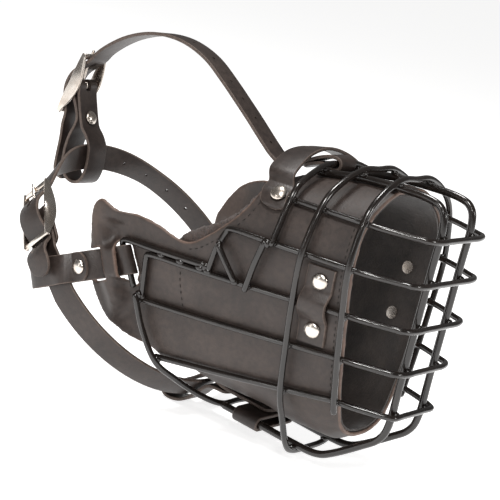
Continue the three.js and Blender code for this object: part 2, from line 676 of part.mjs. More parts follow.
// The top buckle stands at the nape, its width across the dog.
const TOP_BUCKLE = { y: 312.4, z: 74.7, lean: THREE.MathUtils.degToRad(16.5) };
const topFrame = {
  at: (a, b) => v3(0, TOP_BUCKLE.y - a * Math.sin(TOP_BUCKLE.lean) + b * Math.cos(TOP_BUCKLE.lean),
    TOP_BUCKLE.z + a * Math.cos(TOP_BUCKLE.lean) + b * Math.sin(TOP_BUCKLE.lean)),
  across: v3(1, 0, 0),
};

// A strap end's way through a buckle: under the end bar, over the centre bar, under the other bar.
const NECK_HOLES = [-21, -34.5, -47.5, -60];
const FOREHEAD_HOLES = [[129, 81.4, 0.72], [147, 94.5, 0.72], [162, 105, 0.66], [176, 114.5, 0.63],
  [196, 126.5, 0.45], [217, 133, 0.18]];
const WEAVE = [[BUCKLE_HALF, -1.6], [15, 4.2], [6, 9.2], [-3, 10.3], [-11, 8], [-18, 2.6], [-BUCKLE_HALF, -1.2]];

// The strap turns to stand upright at the nape.
function twist(degrees) {
  const around = Math.abs(((degrees + 540) % 360) - 180);
  const away = Math.min(around / 42, 1);
  return (NECK_TILT + 0.1) * 0.5 * (1 + Math.cos(Math.PI * away));
}

function neckStation(degrees, radius) {
  const turn = THREE.MathUtils.degToRad(degrees);
  const radial = v3(-Math.sin(turn), 0, 0).addScaledVector(neckUp, Math.cos(turn));
  const tilt = twist(degrees);
  return {
    centre: neckCentre.clone().addScaledVector(radial, radius),
    across: neckAxis.clone().multiplyScalar(Math.cos(tilt)).addScaledVector(radial, Math.sin(tilt)),
    out: radial.clone().multiplyScalar(Math.cos(tilt)).addScaledVector(neckAxis, -Math.sin(tilt)),
  };
}

function planarStations(points, count, frame) {
  return planarPath(points, count).map(({ a, b, na, nb }) => ({
    centre: frame.at(a, b),
    across: frame.across,
    out: frame.at(na, nb).sub(frame.at(0, 0)),
  }));
}

const PRONG_SLOT = { from: 2, to: 21, width: 4.4 };

function prongSlot(frame) {
  const middle = (PRONG_SLOT.from + PRONG_SLOT.to) / 2;
  return boxAt(frame, middle, 4, PRONG_SLOT.to - PRONG_SLOT.from, 14, PRONG_SLOT.width);
}

const foldSlot = (frame) => boxAt(frame, 1.5, 0, 14, 11.5, 5.2);

function hole(frame, a, b, direction, radius = 1.7, depth = 9) {
  const geometry = new THREE.CylinderGeometry(radius, radius, depth, 8);
  geometry.applyQuaternion(new THREE.Quaternion().setFromUnitVectors(v3(0, 1, 0), direction));
  const place = frame.at(a, b);
  geometry.translate(place.x, place.y, place.z);
  return geometry;
}

function addNeckStrap() {
  const foldR = BUCKLE_BAR_R + GAP + LEATHER / 2 + 0.2;
  const tail = planarStations([[33, -5.4], ...WEAVE, [-32, 2.4], [-38, 3.6], [-46, 0.6], [-53, -4]], 22, nearFrame);
  const fold = planarStations([[-26, -9.6], [-20, -7.8], [-12, -5.6], [-4, -foldR - 0.4], [foldR - 0.9, -2.2],
    [foldR, 0.4], [1.6, foldR - 0.3], [-4, 3], [-12, -0.9], [-20, -3.9], [-31, -5.8]], 22, nearFrame);
  const round = [];
  const first = -262;
  const last = 37;
  const count = 28;
  for (let i = 0; i <= count; i += 1) round.push(neckStation(first + (last - first) * i / count, NECK_R));
  const holes = NECK_HOLES.map((degrees) => {
    const { centre, out } = neckStation(degrees, NECK_R);
    return hole({ at: () => centre }, 0, 0, out);
  });
  const body = strap([...fold, ...round, ...tail], STRAP_W, LEATHER);
  add('neck_strap', cut(body, prongSlot(nearFrame), foldSlot(nearFrame), ...holes), BLACK_LEATHER);
  add('near_buckle', buckleFrame(nearFrame), NICKEL);
  add('near_prong', prong(nearFrame), NICKEL);
}

// ---------- forehead strap, sliding loop and top buckle, in the mid-plane ----------
const midFrame = { at: (y, z) => v3(0, y, z), across: v3(-1, 0, 0) };
const rearHoopTop = topZ(65) + BAR_R + HOOP_R + GAP + 0.3;

function topWeave() {
  return WEAVE.map(([a, b]) => {
    const p = topFrame.at(a, b);
    return [p.y, p.z];
  });
}

function addForeheadStrap() {
  const foldR = HOOP_R + GAP + LEATHER / 2 + 0.4;
  const path = [[93, 75.2], [86, 79.2], [78, 82], [71, 82], [66, rearHoopTop - foldR], [61.9, rearHoopTop - 3.1],
    [65 - foldR, rearHoopTop], [61.9, rearHoopTop + 3.1], [65.5, rearHoopTop + foldR], [72, 88.6], [80, 85.6],
    [88, 81.2], [96, 76.4], [104, 72.8], [112, 72.2], [120, 75.4], [129, 81.4], [147, 94.5], [162, 105],
    [176, 114.5], [196, 126.5], [217, 133], [236, 134], [255, 130.8], [275, 122.5], [291, 111.5], [299, 104],
    ...topWeave(), [318.6, 42], [317.6, 30], [317.6, 17], [317, 5], [314.4, -3]];
  const body = planarStrap(path, 70, STRAP_W, LEATHER, midFrame);
  const holes = FOREHEAD_HOLES.map(([y, z, slope]) => hole(midFrame, y, z, v3(0, -slope, 1).normalize()));
  add('forehead_strap', cut(body, prongSlot(topFrame), ...holes), BLACK_LEATHER);
}

function addSlide() {
  const loop = [[309, 73.6], [307.6, 68], [304.6, 60], [301.2, 51.6], [297.8, 44.6], [291.4, 38.6], [287, 32],
    [285.4, 23], [285.6, 12], [289, 3.4], [296, 0.4], [304, 2.6], [309.4, 11], [310.4, 24], [308.4, 36],
    [305.8, 43.4], [304.7, 49.6], [307.2, 56.4], [311.4, 63.4], [315, 70], [315.9, 75.6], [314.3, 77.9],
    [311.4, 78.3], [309.2, 76.5]];
  const rows = planarPath(loop, 52, true);
  const sections = rows.map(({ a, b, na, nb }) => [[0.5, 0.5], [-0.5, 0.5], [-0.5, -0.5], [0.5, -0.5]]
    .map(([i, j]) => midFrame.at(a + j * LEATHER * na, b + j * LEATHER * nb)
      .addScaledVector(midFrame.across, i * (STRAP_W + 1))));
  const out = v3(0, -0.9, 0.43).normalize();
  const pinch = v3(0, 301.2, 50.9);
  add('slide_loop', cut(ringLoft(sections), foldSlot(topFrame), hole(midFrame, 302.8, 50.1, out, RIVET_R + 0.6, 16)),
    BLACK_LEATHER);
  add('slide_rivet', rivet(pinch.addScaledVector(out, LEATHER / 2 + 1.4), out, 5.6, 2 * LEATHER + 4.7, 2.3), NICKEL);
  add('top_buckle', buckleFrame(topFrame), NICKEL);
  add('top_prong', prong(topFrame), NICKEL);
}

// ---------- cheek bands, each folded round its eye wire and round the neck strap ----------
const CHEEK_PATH = [[24, 98.6], [29, 98.6], [33, 98.7], [36.5, 99.2], [39.2, 102.1], [42, 104.8], [47, 105.4],
  [55, 105.2], [63, 105.2], [69, 104.7], [73, 103.2], [75.6, 100.6], [74.6, 97.5], [70, 96], [62, 95.9],
  [54, 96.1], [46, 95.9], [40, 95.6], [34, 95.3], [29, 94.9], [25.5, 93.2], [22, 90.3], [18, 87.6], [14, 86],
  [9, 85.4], [4, LEG_X + 4.3], [0, LEG_X + 4.3], [-3.1, LEG_X + 3.1], [-4.3, LEG_X], [-3.1, LEG_X - 3.1],
  [0, LEG_X - 4.3], [4, LEG_X - 3.6], [9, LEG_X - 1.2], [14, 81.9], [18, 83.6], [22, 86.3], [25.5, 89.2],
  [29, 91.6], [34, 92.1], [39, 92.3]];
const CHEEK_RIVET_U = 31;

// The band is square to the wire's leg at one end and follows the neck strap's edge at the other.
function cheekSlope(u, x) {
  const round = x > 97.5 ? 0.2 * smoothStep(34, 39, u) * (1 - smoothStep(44, 54, u)) : 0;
  return LEG_SLOPE * (1 - smoothStep(4, 24, u)) - round;
}

function addCheekBands() {
  for (const side of [-1, 1]) {
    const frame = cheekFrame(side);
    const stations = planarPath(CHEEK_PATH, 60).map(({ a, b, na, nb }) => ({
      centre: frame.at(a, b),
      across: v3(side * cheekSlope(a, b), Math.sin(CHEEK_FALL), Math.cos(CHEEK_FALL)).normalize(),
      out: frame.at(na, nb).sub(frame.at(0, 0)),
    }));
    const out = v3(side, 0, 0);
    const through = hole(frame, CHEEK_RIVET_U, 95.6, out, RIVET_R + GAP, 18);
    add(`cheek_band_${sideName(side)}`, cut(strap(stations, CHEEK_W, LEATHER), through), BLACK_LEATHER);
    const cap = frame.at(CHEEK_RIVET_U, 100.5);
    add(`cheek_rivet_${sideName(side)}`, rivet(cap, out, 5.4, 3 * LEATHER + 4, 3.2), NICKEL);
  }
}

// ---------- throat strap loop, wrapped round the long bars under the jaw ----------
const WRAP = { y: 77, width: 22, slope: Math.atan(0.05) };

function addThroat() {
  const inH = BAR_R + GAP + 0.1;
  const inW = BAR_X + BAR_R + GAP + 0.1;
  const stadium = (w, h) => {
    const shape = new THREE.Shape();
    shape.moveTo(-w + h, -h);
    shape.lineTo(w - h, -h);
    shape.absarc(w - h, 0, h, -Math.PI / 2, Math.PI / 2, false);
    shape.lineTo(-w + h, h);
    shape.absarc(-w + h, 0, h, Math.PI / 2, Math.PI * 1.5, false);
    return shape;
  };
  const outline = stadium(inW + LEATHER, inH + LEATHER);
  outline.holes.push(stadium(inW, inH));
  const wrap = new THREE.ExtrudeGeometry(outline, { depth: WRAP.width, bevelEnabled: false, curveSegments: 6 });
  wrap.translate(0, 0, -WRAP.width / 2);
  wrap.rotateX(Math.PI / 2 + WRAP.slope);
  wrap.translate(0, WRAP.y, barBottomZ(WRAP.y));
  const top = barBottomZ(WRAP.y) + inH + LEATHER + GAP + LEATHER / 2;
  const down = v3(0, 0, -1);
  const throughTop = hole(midFrame, WRAP.y, top - 2, down, RIVET_R + GAP);
  add('jaw_wrap', cut(wrap, throughTop), BLACK_LEATHER);
  const path = [[68, top - 0.4], [77, top], [86, top + 0.5], [98, top + 1], [112, top + 2.2], [123, top + 4.6],
    [132, -100.4], [139.5, -105.5], [148, -111], [156, -116],
    [162, -120.5], [164.8, -124.2], [163, -127.4], [156.5, -128.6], [147.5, -126.6], [138.5, -120.3], [131.5, -112.4], [125, -106.8], [117, -105.8], [108, -106]];
  const loop = planarStrap(path, 40, STRAP_W, LEATHER, midFrame);
  add('throat_loop', cut(loop, hole(midFrame, WRAP.y, top, down, RIVET_R + GAP)), BLACK_LEATHER);
  const under = v3(0, WRAP.y, top - 1.5 * LEATHER - 2 * GAP - 0.2);
  add('throat_rivet', rivet(under, down, 4.6, 2 * LEATHER + 3 * GAP + 0.6, 4.2), NICKEL);
}

addLoops();
addBars();
addHoops();
addRim();
addEyesAndBraces();
addLiner();
addSideTabs();
addKeeper();
addNeckStrap();
addForeheadStrap();
addSlide();
addCheekBands();
addThroat();

export default group;
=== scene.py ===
"""Looks for a large dog's wire basket muzzle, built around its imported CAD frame.

Shapes are worked out in millimetres in the row frame and made in metres.
"""
import math
import random

import bmesh
import bpy
import numpy as np
from mathutils import Matrix, Vector
from mathutils.bvhtree import BVHTree


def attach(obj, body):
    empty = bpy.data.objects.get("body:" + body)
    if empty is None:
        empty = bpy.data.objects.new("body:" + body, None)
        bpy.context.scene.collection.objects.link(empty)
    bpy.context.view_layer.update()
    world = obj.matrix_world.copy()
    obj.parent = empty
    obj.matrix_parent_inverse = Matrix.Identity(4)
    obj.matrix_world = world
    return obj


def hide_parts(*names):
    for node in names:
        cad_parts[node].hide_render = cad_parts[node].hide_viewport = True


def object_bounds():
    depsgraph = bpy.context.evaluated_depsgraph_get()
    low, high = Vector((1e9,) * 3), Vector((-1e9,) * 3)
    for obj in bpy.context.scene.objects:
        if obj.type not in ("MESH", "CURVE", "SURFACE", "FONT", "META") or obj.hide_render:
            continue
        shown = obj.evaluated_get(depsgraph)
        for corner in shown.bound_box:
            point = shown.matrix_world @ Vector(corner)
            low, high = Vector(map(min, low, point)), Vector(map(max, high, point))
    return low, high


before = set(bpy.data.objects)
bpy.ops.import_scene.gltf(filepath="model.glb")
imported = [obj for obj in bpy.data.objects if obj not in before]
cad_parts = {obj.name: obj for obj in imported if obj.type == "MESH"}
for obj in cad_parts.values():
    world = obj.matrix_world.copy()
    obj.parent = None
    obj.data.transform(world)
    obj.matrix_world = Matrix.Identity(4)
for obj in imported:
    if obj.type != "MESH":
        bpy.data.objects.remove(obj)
cad_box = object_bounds()
rng = random.Random(11)
MM = 0.001

# ---------- camera ----------
AZ, EL, ROLL = (math.radians(a) for a in (-57.0, 13.25, 13.77))
DISTANCE, SHIFT_X, SHIFT_Z = 1.09535, -0.09694, 0.04057
back = Vector((math.sin(AZ) * math.cos(EL), -math.cos(AZ) * math.cos(EL), math.sin(EL)))
right = (-back).cross(Vector((0, 0, 1))).normalized()
up = right.cross(-back).normalized()
cam_right = right * math.cos(ROLL) + up * math.sin(ROLL)
cam_up = up * math.cos(ROLL) - right * math.sin(ROLL)
place = back * DISTANCE + cam_right * SHIFT_X + cam_up * SHIFT_Z
cam_data = bpy.data.cameras.new("camera")
cam_data.lens = 113.14
cam_data.sensor_width = 36
cam_data.clip_end = 200
camera = bpy.data.objects.new("camera", cam_data)
bpy.context.scene.collection.objects.link(camera)
columns = Matrix((cam_right, cam_up, back)).transposed().to_4x4()
camera.matrix_world = Matrix.Translation(place) @ columns
bpy.context.scene.camera = camera

# ---------- the frame's driving dimensions, in millimetres ----------
GAP = 0.35
BAR_R, LOOP_R, HOOP_R = 2.75, 2.2, 2.3
BAR_X, BAR_Y = 20.7, -34.0
TOP_Z, TOP_SAG = 86.6, 0.00175
NOSE_CORNER = 0.76
SPREAD, SPREAD_EASE = 0.24, 0.0005
# each level loop's height, half width, fall per mm and share of the sides' spread
LEVELS = [(63, 54.5, 0.01, 0.6), (32, 61.5, 0.005, 0.9), (0, 57.5, 0.045, 1),
          (-31.5, 51.5, 0.07, 1), (-63.5, 43.5, 0.125, 1)]
REAR_Y = [59, 90, 150, 157, 137]
LEATHER, LINER, LINING, PAD = 2.5, 3.2, 1.5, 6.0
SKIN = LOOP_R + 1
RIM_LEAN = 0.054
NECK_R = 102
NECK_CENTRE = np.array([0, 214.6, -45.0])
NECK_TILT = math.radians(41.5)
STRAP_W, CHEEK_W = 20, 21.5
BUCKLE_AT = math.radians(60)
BUCKLE_HALF, BUCKLE_RISE, BUCKLE_BAR_R = 24, 3.3, 1.6
PLATE_IN, PLATE_T = 11.4, 1.8
RIVET_R = 1.6
HOLE_R, HOLE_LONG = 1.15, 9       # punched holes in the straps
EDGE_ROUND = 0.65                 # radius of a strap's edges
DOME = 0.9                        # how far a wire's end bulges, over its radius
BOTH_SIDES = ((-1, "near"), (1, "far"))
HALF_SPACE = 130                  # beyond the part's half width
WRAP_Y = 77                       # the wrap round the long bars under the jaw


# ---------- curves ----------
def vec(*values):
    return np.array(values, float)


def unit(v):
    return v / np.linalg.norm(v)


def catmull(points, closed=False, centripetal=False, fine=16):
    """Points on a Catmull-Rom curve through the given ones."""
    p = np.array(points, float)
    if closed:
        q = np.vstack([p[-1:], p, p[:2]])
        spans = len(p)
    else:
        q = np.vstack([[2 * p[0] - p[1]], p, [2 * p[-1] - p[-2]]])
        spans = len(p) - 1
    t = np.linspace(0, 1, fine, endpoint=False)[:, None]
    rows = []
    for i in range(spans):
        p0, p1, p2, p3 = q[i:i + 4]
        if centripetal:
            d0, d1, d2 = (max(np.linalg.norm(b - a) ** 0.5, 1e-4) for a, b in ((p0, p1), (p1, p2), (p2, p3)))
            m1 = ((p1 - p0) / d0 - (p2 - p0) / (d0 + d1) + (p2 - p1) / d1) * d1
            m2 = ((p2 - p1) / d1 - (p3 - p1) / (d1 + d2) + (p3 - p2) / d2) * d1
        else:
            m1, m2 = 0.5 * (p2 - p0), 0.5 * (p3 - p1)
        rows.append((2 * t**3 - 3 * t**2 + 1) * p1 + (t**3 - 2 * t**2 + t) * m1
                    + (3 * t**2 - 2 * t**3) * p2 + (t**3 - t**2) * m2)
    if not closed:
        rows.append(p[-1:])
    return np.vstack(rows)


def even(line, count, closed=False):
    """Evenly spaced points along a line."""
    whole = np.vstack([line, line[:1]]) if closed else line
    run = np.concatenate([[0], np.cumsum(np.linalg.norm(np.diff(whole, axis=0), axis=1))])
    at = np.linspace(0, run[-1], count, endpoint=not closed)
    return np.column_stack([np.interp(at, run, whole[:, k]) for k in range(whole.shape[1])])


def tangents(points, closed=False):
    if closed:
        d = np.roll(points, -1, axis=0) - np.roll(points, 1, axis=0)
    else:
        d = np.gradient(points, axis=0)
    return d / np.maximum(np.linalg.norm(d, axis=1), 1e-9)[:, None]


def smooth_step(low, high, value):
    t = np.clip((value - low) / (high - low), 0, 1)
    return t * t * (3 - 2 * t)


# ---------- the basket's shape ----------
def spread(y):
    return SPREAD * y - SPREAD_EASE * y * y if y > 0 else 0.0


def level_z(i, y):
    return LEVELS[i][0] - LEVELS[i][2] * max(y, 0)


def level_w(i, y):
    return LEVELS[i][1] + LEVELS[i][3] * spread(y)


def top_z(y):
    return TOP_Z - TOP_SAG * min(max(y, 0), 95) ** 2


def half_section(y):
    return [(0, top_z(y) + 0.8), (BAR_X, top_z(y))] + [(level_w(i, y), level_z(i, y)) for i in range(5)]


sections = {}


def side_x(y, z):
    """Half width of the basket's side at y and height z."""
    key = round(y, 2)
    if key not in sections:
        points = half_section(y)[1:] + [(28 + spread(y) / 2, -92)]
        sections[key] = catmull(points, centripetal=True, fine=24)
    line = sections[key]
    return float(np.interp(-z, -line[:, 1], line[:, 0]))


def outside_loop(i, y, distance):
    points = half_section(y) + [(28 + spread(y) / 2, -92)]
    before, here, after = (np.array(points[i + k]) for k in (1, 2, 3))
    t = unit(after - before)
    return here[0] - t[1] * distance, here[1] + t[0] * distance


EYE_Y, EYE_Z = 169.9, -17.2
CHEEK_FALL = math.radians(26)
CF, SF = math.cos(CHEEK_FALL), math.sin(CHEEK_FALL)
LEG = (12.6, 6, 0, -6, -12, -18.5)
LEG_X = side_x(EYE_Y, EYE_Z)
LEG_SLOPE = (side_x(EYE_Y + 5, EYE_Z + 10) - side_x(EYE_Y - 7, EYE_Z - 15)) / 28


def cheek_place(u, w):
    return EYE_Y + u * CF + w * SF, EYE_Z - u * SF + w * CF


def bar_bottom_z(y):
    return -114 + (y - 32) * 0.05


def mirrored(rows):
    """Rows of half width, height and y, from one side's low end over the top to the other's."""
    return [(x, y, z) for x, z, y in rows][::-1] + [(-x, y, z) for x, z, y in rows if x > 0]


def rear_leg(i, from_y, to_y, end_z):
    start_z = level_z(i, from_y)
    mid_z = (start_z + end_z) / 2
    return [(level_w(i, from_y) + 0.3, from_y + (to_y - from_y) * 0.25 + 2.5, start_z - 3.5),
            (side_x(to_y, mid_z), from_y + (to_y - from_y) * 0.6 + 1.5, mid_z),
            (side_x(to_y, end_z) + 0.2, to_y, end_z)]


def wire_routes():
    """Every wire of the basket: name to (control points, radius, closed)."""
    wires = {}
    face_y = BAR_Y - BAR_R - LOOP_R - 2 * GAP
    for i, (z, w, _, _) in enumerate(LEVELS):
        corner = w * NOSE_CORNER
        half = [(12, face_y, z), (max(corner - 15, BAR_X + 4), face_y, z), (corner - 4, face_y + 3.4, z),
                (corner + 0.5, face_y + 11, z), (corner + (w - corner) * 0.72, -12, z), (w + 0.3, 0, z),
                (level_w(i, 12), 12, level_z(i, 12))]
        y = 30
        while y < REAR_Y[i] - 14:
            half.append((level_w(i, y), y, level_z(i, y)))
            y += 30
        half.append((level_w(i, REAR_Y[i]), REAR_Y[i], level_z(i, REAR_Y[i])))
        if i == 1:
            half += rear_leg(1, 90, 103, level_z(2, 103) + LOOP_R + 1.2)
        if i == 2:
            half += rear_leg(2, 150, 154, level_z(3, 154) + 2 * LOOP_R + GAP + 0.4)
        other = [(-x, y, z) for x, y, z in half][::-1]
        wires[f"loop_wire_{i + 1}"] = (other + half, LOOP_R, False)
    for side, name in BOTH_SIDES:
        x = side * BAR_X
        rows = [(69, top_z(69)), (35, top_z(35)), (4, TOP_Z), (-18, TOP_Z), (-29.5, TOP_Z - 3.8),
                (BAR_Y, TOP_Z - 16), (BAR_Y, 40), (BAR_Y, 0), (BAR_Y, -40), (BAR_Y, -70), (-29.5, -83.5),
                (-17, -94), (3, -108), (15, -113.4), (32, -114), (64, -112.4), (99.5, -110.6)]
        wires[f"long_bar_{name}"] = ([(x, y, z) for y, z in rows], BAR_R, False)

    out = LOOP_R + HOOP_R + GAP + 0.15
    over = BAR_R + HOOP_R + GAP + 0.1

    def level(i, y):
        return (*outside_loop(i, y, out), y)

    def top(y):
        return [(0, top_z(y) + over + 0.3, y), (BAR_X, top_z(y) + over, y)]

    def shoulder(y):
        return (42 + spread(y) * 0.5, top_z(y) - 3.6, y)

    front = [*top(RIM_LEAN * 90), shoulder(RIM_LEAN * 80), level(0, 3.4), level(1, 1.7), level(2, 0),
             level(3, -1.7), level(4, -3.4), (outside_loop(4, 0, out)[0] - 1.8, -70, -3.8)]
    wires["hoop_front"] = (mirrored(front), HOOP_R, False)
    y = 35.4
    low = bar_bottom_z(y) - over
    ring = [*top(y), shoulder(y), *(level(i, y) for i in range(5)), (43.5, -93, y), (31, low + 6.5, y),
            (BAR_X, low, y), (0, low - 1, y)]
    closed = [(x, yy, z) for x, z, yy in ring] + [(-x, yy, z) for x, z, yy in ring[1:-1]][::-1]
    wires["hoop_middle"] = (closed, HOOP_R, True)
    rear = [*top(65), shoulder(62), level(0, 58.5), level(1, 58)]
    wires["hoop_rear"] = (mirrored(rear), HOOP_R, False)
    rim_out = LOOP_R + HOOP_R + GAP
    rim = [(0, -110.6, 102.9), (BAR_X, -110.2, 102.9), (36, -105.5, 112), (52, -96, 126),
           (*outside_loop(4, 134, rim_out), 134), (outside_loop(3, 147, rim_out)[0] - 3.4, -62, 147),
           (*outside_loop(3, 154.5, rim_out), 154.5), (outside_loop(3, 156, rim_out)[0] + 0.4, -39.5, 156)]
    wires["rim_wire"] = (mirrored(rim), HOOP_R, False)
    for side, name in BOTH_SIDES:
        foot, head = outside_loop(2, 70, out), outside_loop(1, 63, out)
        wires[f"side_strut_{name}"] = (
            [(side * (head[0] - 0.2), 63.5, head[1] - 1.5), (side * (foot[0] + 1.6), 67, 14),
             (side * foot[0], 70.5, foot[1] - 1)], HOOP_R, False)

        def on(y, z, extra=0.0):
            return (side * (side_x(y, z) + extra), y, z)

        across = unit(vec(side * LEG_SLOPE, SF, CF))
        leg = [vec(side * LEG_X, EYE_Y, EYE_Z) + across * w for w in LEG]
        eye = [on(yy, level_z(2, yy) + rim_out) for yy in (108, 130, 155)]
        eye += [leg[0] + vec(0, -3.4, 3.2), *leg]
        wires[f"eye_wire_{name}"] = (eye, HOOP_R, False)
        brace = [on(*spot, rim_out) for spot in ((95, 18), (88, 9), (80, -1))]
        wires[f"brace_{name}"] = (brace, HOOP_R, False)
    return wires


# ---------- mesh helpers ----------
def make(name, verts, faces, body="basket", slot=None, replaces=(), materials=(), index=None):
    mesh = bpy.data.meshes.new(name)
    mesh.from_pydata((np.asarray(verts, float) * MM).tolist(), [], faces)
    for material in materials:
        mesh.materials.append(material)
    if index is not None:
        mesh.polygons.foreach_set("material_index", index)
    mesh.polygons.foreach_set("use_smooth", [True] * len(mesh.polygons))
    obj = bpy.data.objects.new(name, mesh)
    bpy.context.scene.collection.objects.link(obj)
    if body:
        settle(obj, body, slot, replaces)
    return obj


def settle(obj, body, slot, replaces):
    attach(obj, body)
    if replaces:
        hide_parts(*replaces)


def ring_faces(rings, sides, closed=False):
    """Faces between rings of vertices, with flat ends unless the rings close up."""
    faces = []
    for s in range(rings if closed else rings - 1):
        n = (s + 1) % rings
        for k in range(sides):
            j = (k + 1) % sides
            faces.append((s * sides + k, s * sides + j, n * sides + j, n * sides + k))
    if not closed:
        faces += [tuple(range(sides))[::-1], tuple((rings - 1) * sides + k for k in range(sides))]
    return faces


def tube(points, radius, closed=False, sides=12):
    """Vertices and faces of a round tube with domed ends."""
    t = tangents(points, closed)
    normal = unit(np.cross(t[0], vec(0, 0, 1) if abs(t[0][2]) < 0.9 else vec(0, 1, 0)))
    normals = [normal]
    for k in range(1, len(points)):
        n = normals[-1] - t[k] * normals[-1].dot(t[k])
        normals.append(unit(n))
    normals = np.array(normals)
    binormals = np.cross(t, normals)
    if closed:
        last = normals[-1] - t[0] * normals[-1].dot(t[0])
        twist = math.atan2(last.dot(binormals[0]), last.dot(normals[0]))
        turn = np.linspace(0, -twist, len(points))[:, None]
        normals, binormals = (normals * np.cos(turn) + binormals * np.sin(turn),
                              binormals * np.cos(turn) - normals * np.sin(turn))
    rows = [(p, a, b, radius) for p, a, b in zip(points, normals, binormals)]
    if not closed:
        def dome(end, way):
            return [(points[end] + way * t[end] * DOME * radius * math.sin(a), normals[end], binormals[end],
                     radius * math.cos(a)) for a in np.radians((30, 60, 82))]

        rows = dome(0, -1)[::-1] + rows + dome(-1, 1)
    angle = np.linspace(0, 2 * math.pi, sides, endpoint=False)
    verts = np.vstack([p + r * (np.outer(np.cos(angle), a) + np.outer(np.sin(angle), b))
                       for p, a, b, r in rows])
    return verts, ring_faces(len(rows), sides, closed)


def gathered(parts):
    """Several (verts, faces) as one."""
    verts, faces, start = [], [], 0
    for v, f in parts:
        verts.append(np.asarray(v))
        faces += [tuple(start + i for i in face) for face in f]
        start += len(v)
    return np.vstack(verts), faces


def ellipsoid(centre, axes, radii, rings=8, sides=14):
    verts, faces = [], []
    for r in range(1, rings):
        a = math.pi * r / rings
        for k in range(sides):
            b = 2 * math.pi * k / sides
            local = (math.sin(a) * math.cos(b), math.sin(a) * math.sin(b), math.cos(a))
            verts.append(centre + sum(radii[i] * local[i] * axes[i] for i in range(3)))
    for r in range(rings - 2):
        for k in range(sides):
            j = (k + 1) % sides
            faces.append((r * sides + k, (r + 1) * sides + k, (r + 1) * sides + j, r * sides + j))
    verts += [centre + radii[2] * axes[2], centre - radii[2] * axes[2]]
    top, bottom = len(verts) - 2, len(verts) - 1
    start = (rings - 2) * sides
    for k in range(sides):
        j = (k + 1) % sides
        faces.append((top, k, j))
        faces.append((bottom, start + j, start + k))
    return np.array(verts), faces


def axes_for(normal):
    n = unit(np.asarray(normal, float))
    a = unit(np.cross(n, vec(0, 0, 1) if abs(n[2]) < 0.9 else vec(1, 0, 0)))
    return a, np.cross(n, a), n


def lathe(profile, point, out, sides=36):
    """Verts and faces of a turned shape: profile rows are (radius, height along out)."""
    a, b, n = axes_for(out)
    angle = np.linspace(0, 2 * math.pi, sides, endpoint=False)
    rows = [point + h * n + r * (np.outer(np.cos(angle), a) + np.outer(np.sin(angle), b)) for r, h in profile]
    return np.vstack(rows), ring_faces(len(profile), sides)


def baked(obj):
    """Applies an object's modifiers."""
    depsgraph = bpy.context.evaluated_depsgraph_get()
    mesh = bpy.data.meshes.new_from_object(obj.evaluated_get(depsgraph))
    obj.modifiers.clear()
    old = obj.data
    obj.data = mesh
    bpy.data.meshes.remove(old)
    return obj


def carve(obj, cutters, operation="DIFFERENCE"):
    """Cuts an object with closed (verts, faces) shapes."""
    for verts, faces in cutters:
        tool = make("tool", verts, faces, body=None)
        mod = obj.modifiers.new("cut", "BOOLEAN")
        mod.operation = operation
        mod.solver = "MANIFOLD"
        mod.object = tool
        bpy.context.view_layer.update()
        baked(obj)
        bpy.data.objects.remove(tool)
    return obj


def sharpen(obj, degrees=50):
    obj.data.polygons.foreach_set("use_smooth", [True] * len(obj.data.polygons))
    obj.data.set_sharp_from_angle(angle=math.radians(degrees))


def prism(outline, low=-HALF_SPACE, high=HALF_SPACE):
    """A closed prism through the basket's sides with an outline in y and z."""
    outline = np.asarray(outline, float)
    n = len(outline)
    verts = np.vstack([np.column_stack([np.full(n, x), outline]) for x in (low, high)])
    area = np.sum(outline[:, 0] * np.roll(outline[:, 1], -1) - np.roll(outline[:, 0], -1) * outline[:, 1])
    faces = ring_faces(2, n)
    return verts, [f[::-1] for f in faces] if area < 0 else faces


def rod(centre, direction, radius, length, sides=20):
    return lathe([(radius, -length / 2), (radius, length / 2)], np.asarray(centre, float), direction, sides)


# ---------- materials ----------
def fill(node, **inputs):
    """Sets a node's input sockets; an underscore in a name stands for a space."""
    for key, value in inputs.items():
        node.inputs[key.replace("_", " ")].default_value = value
    return node


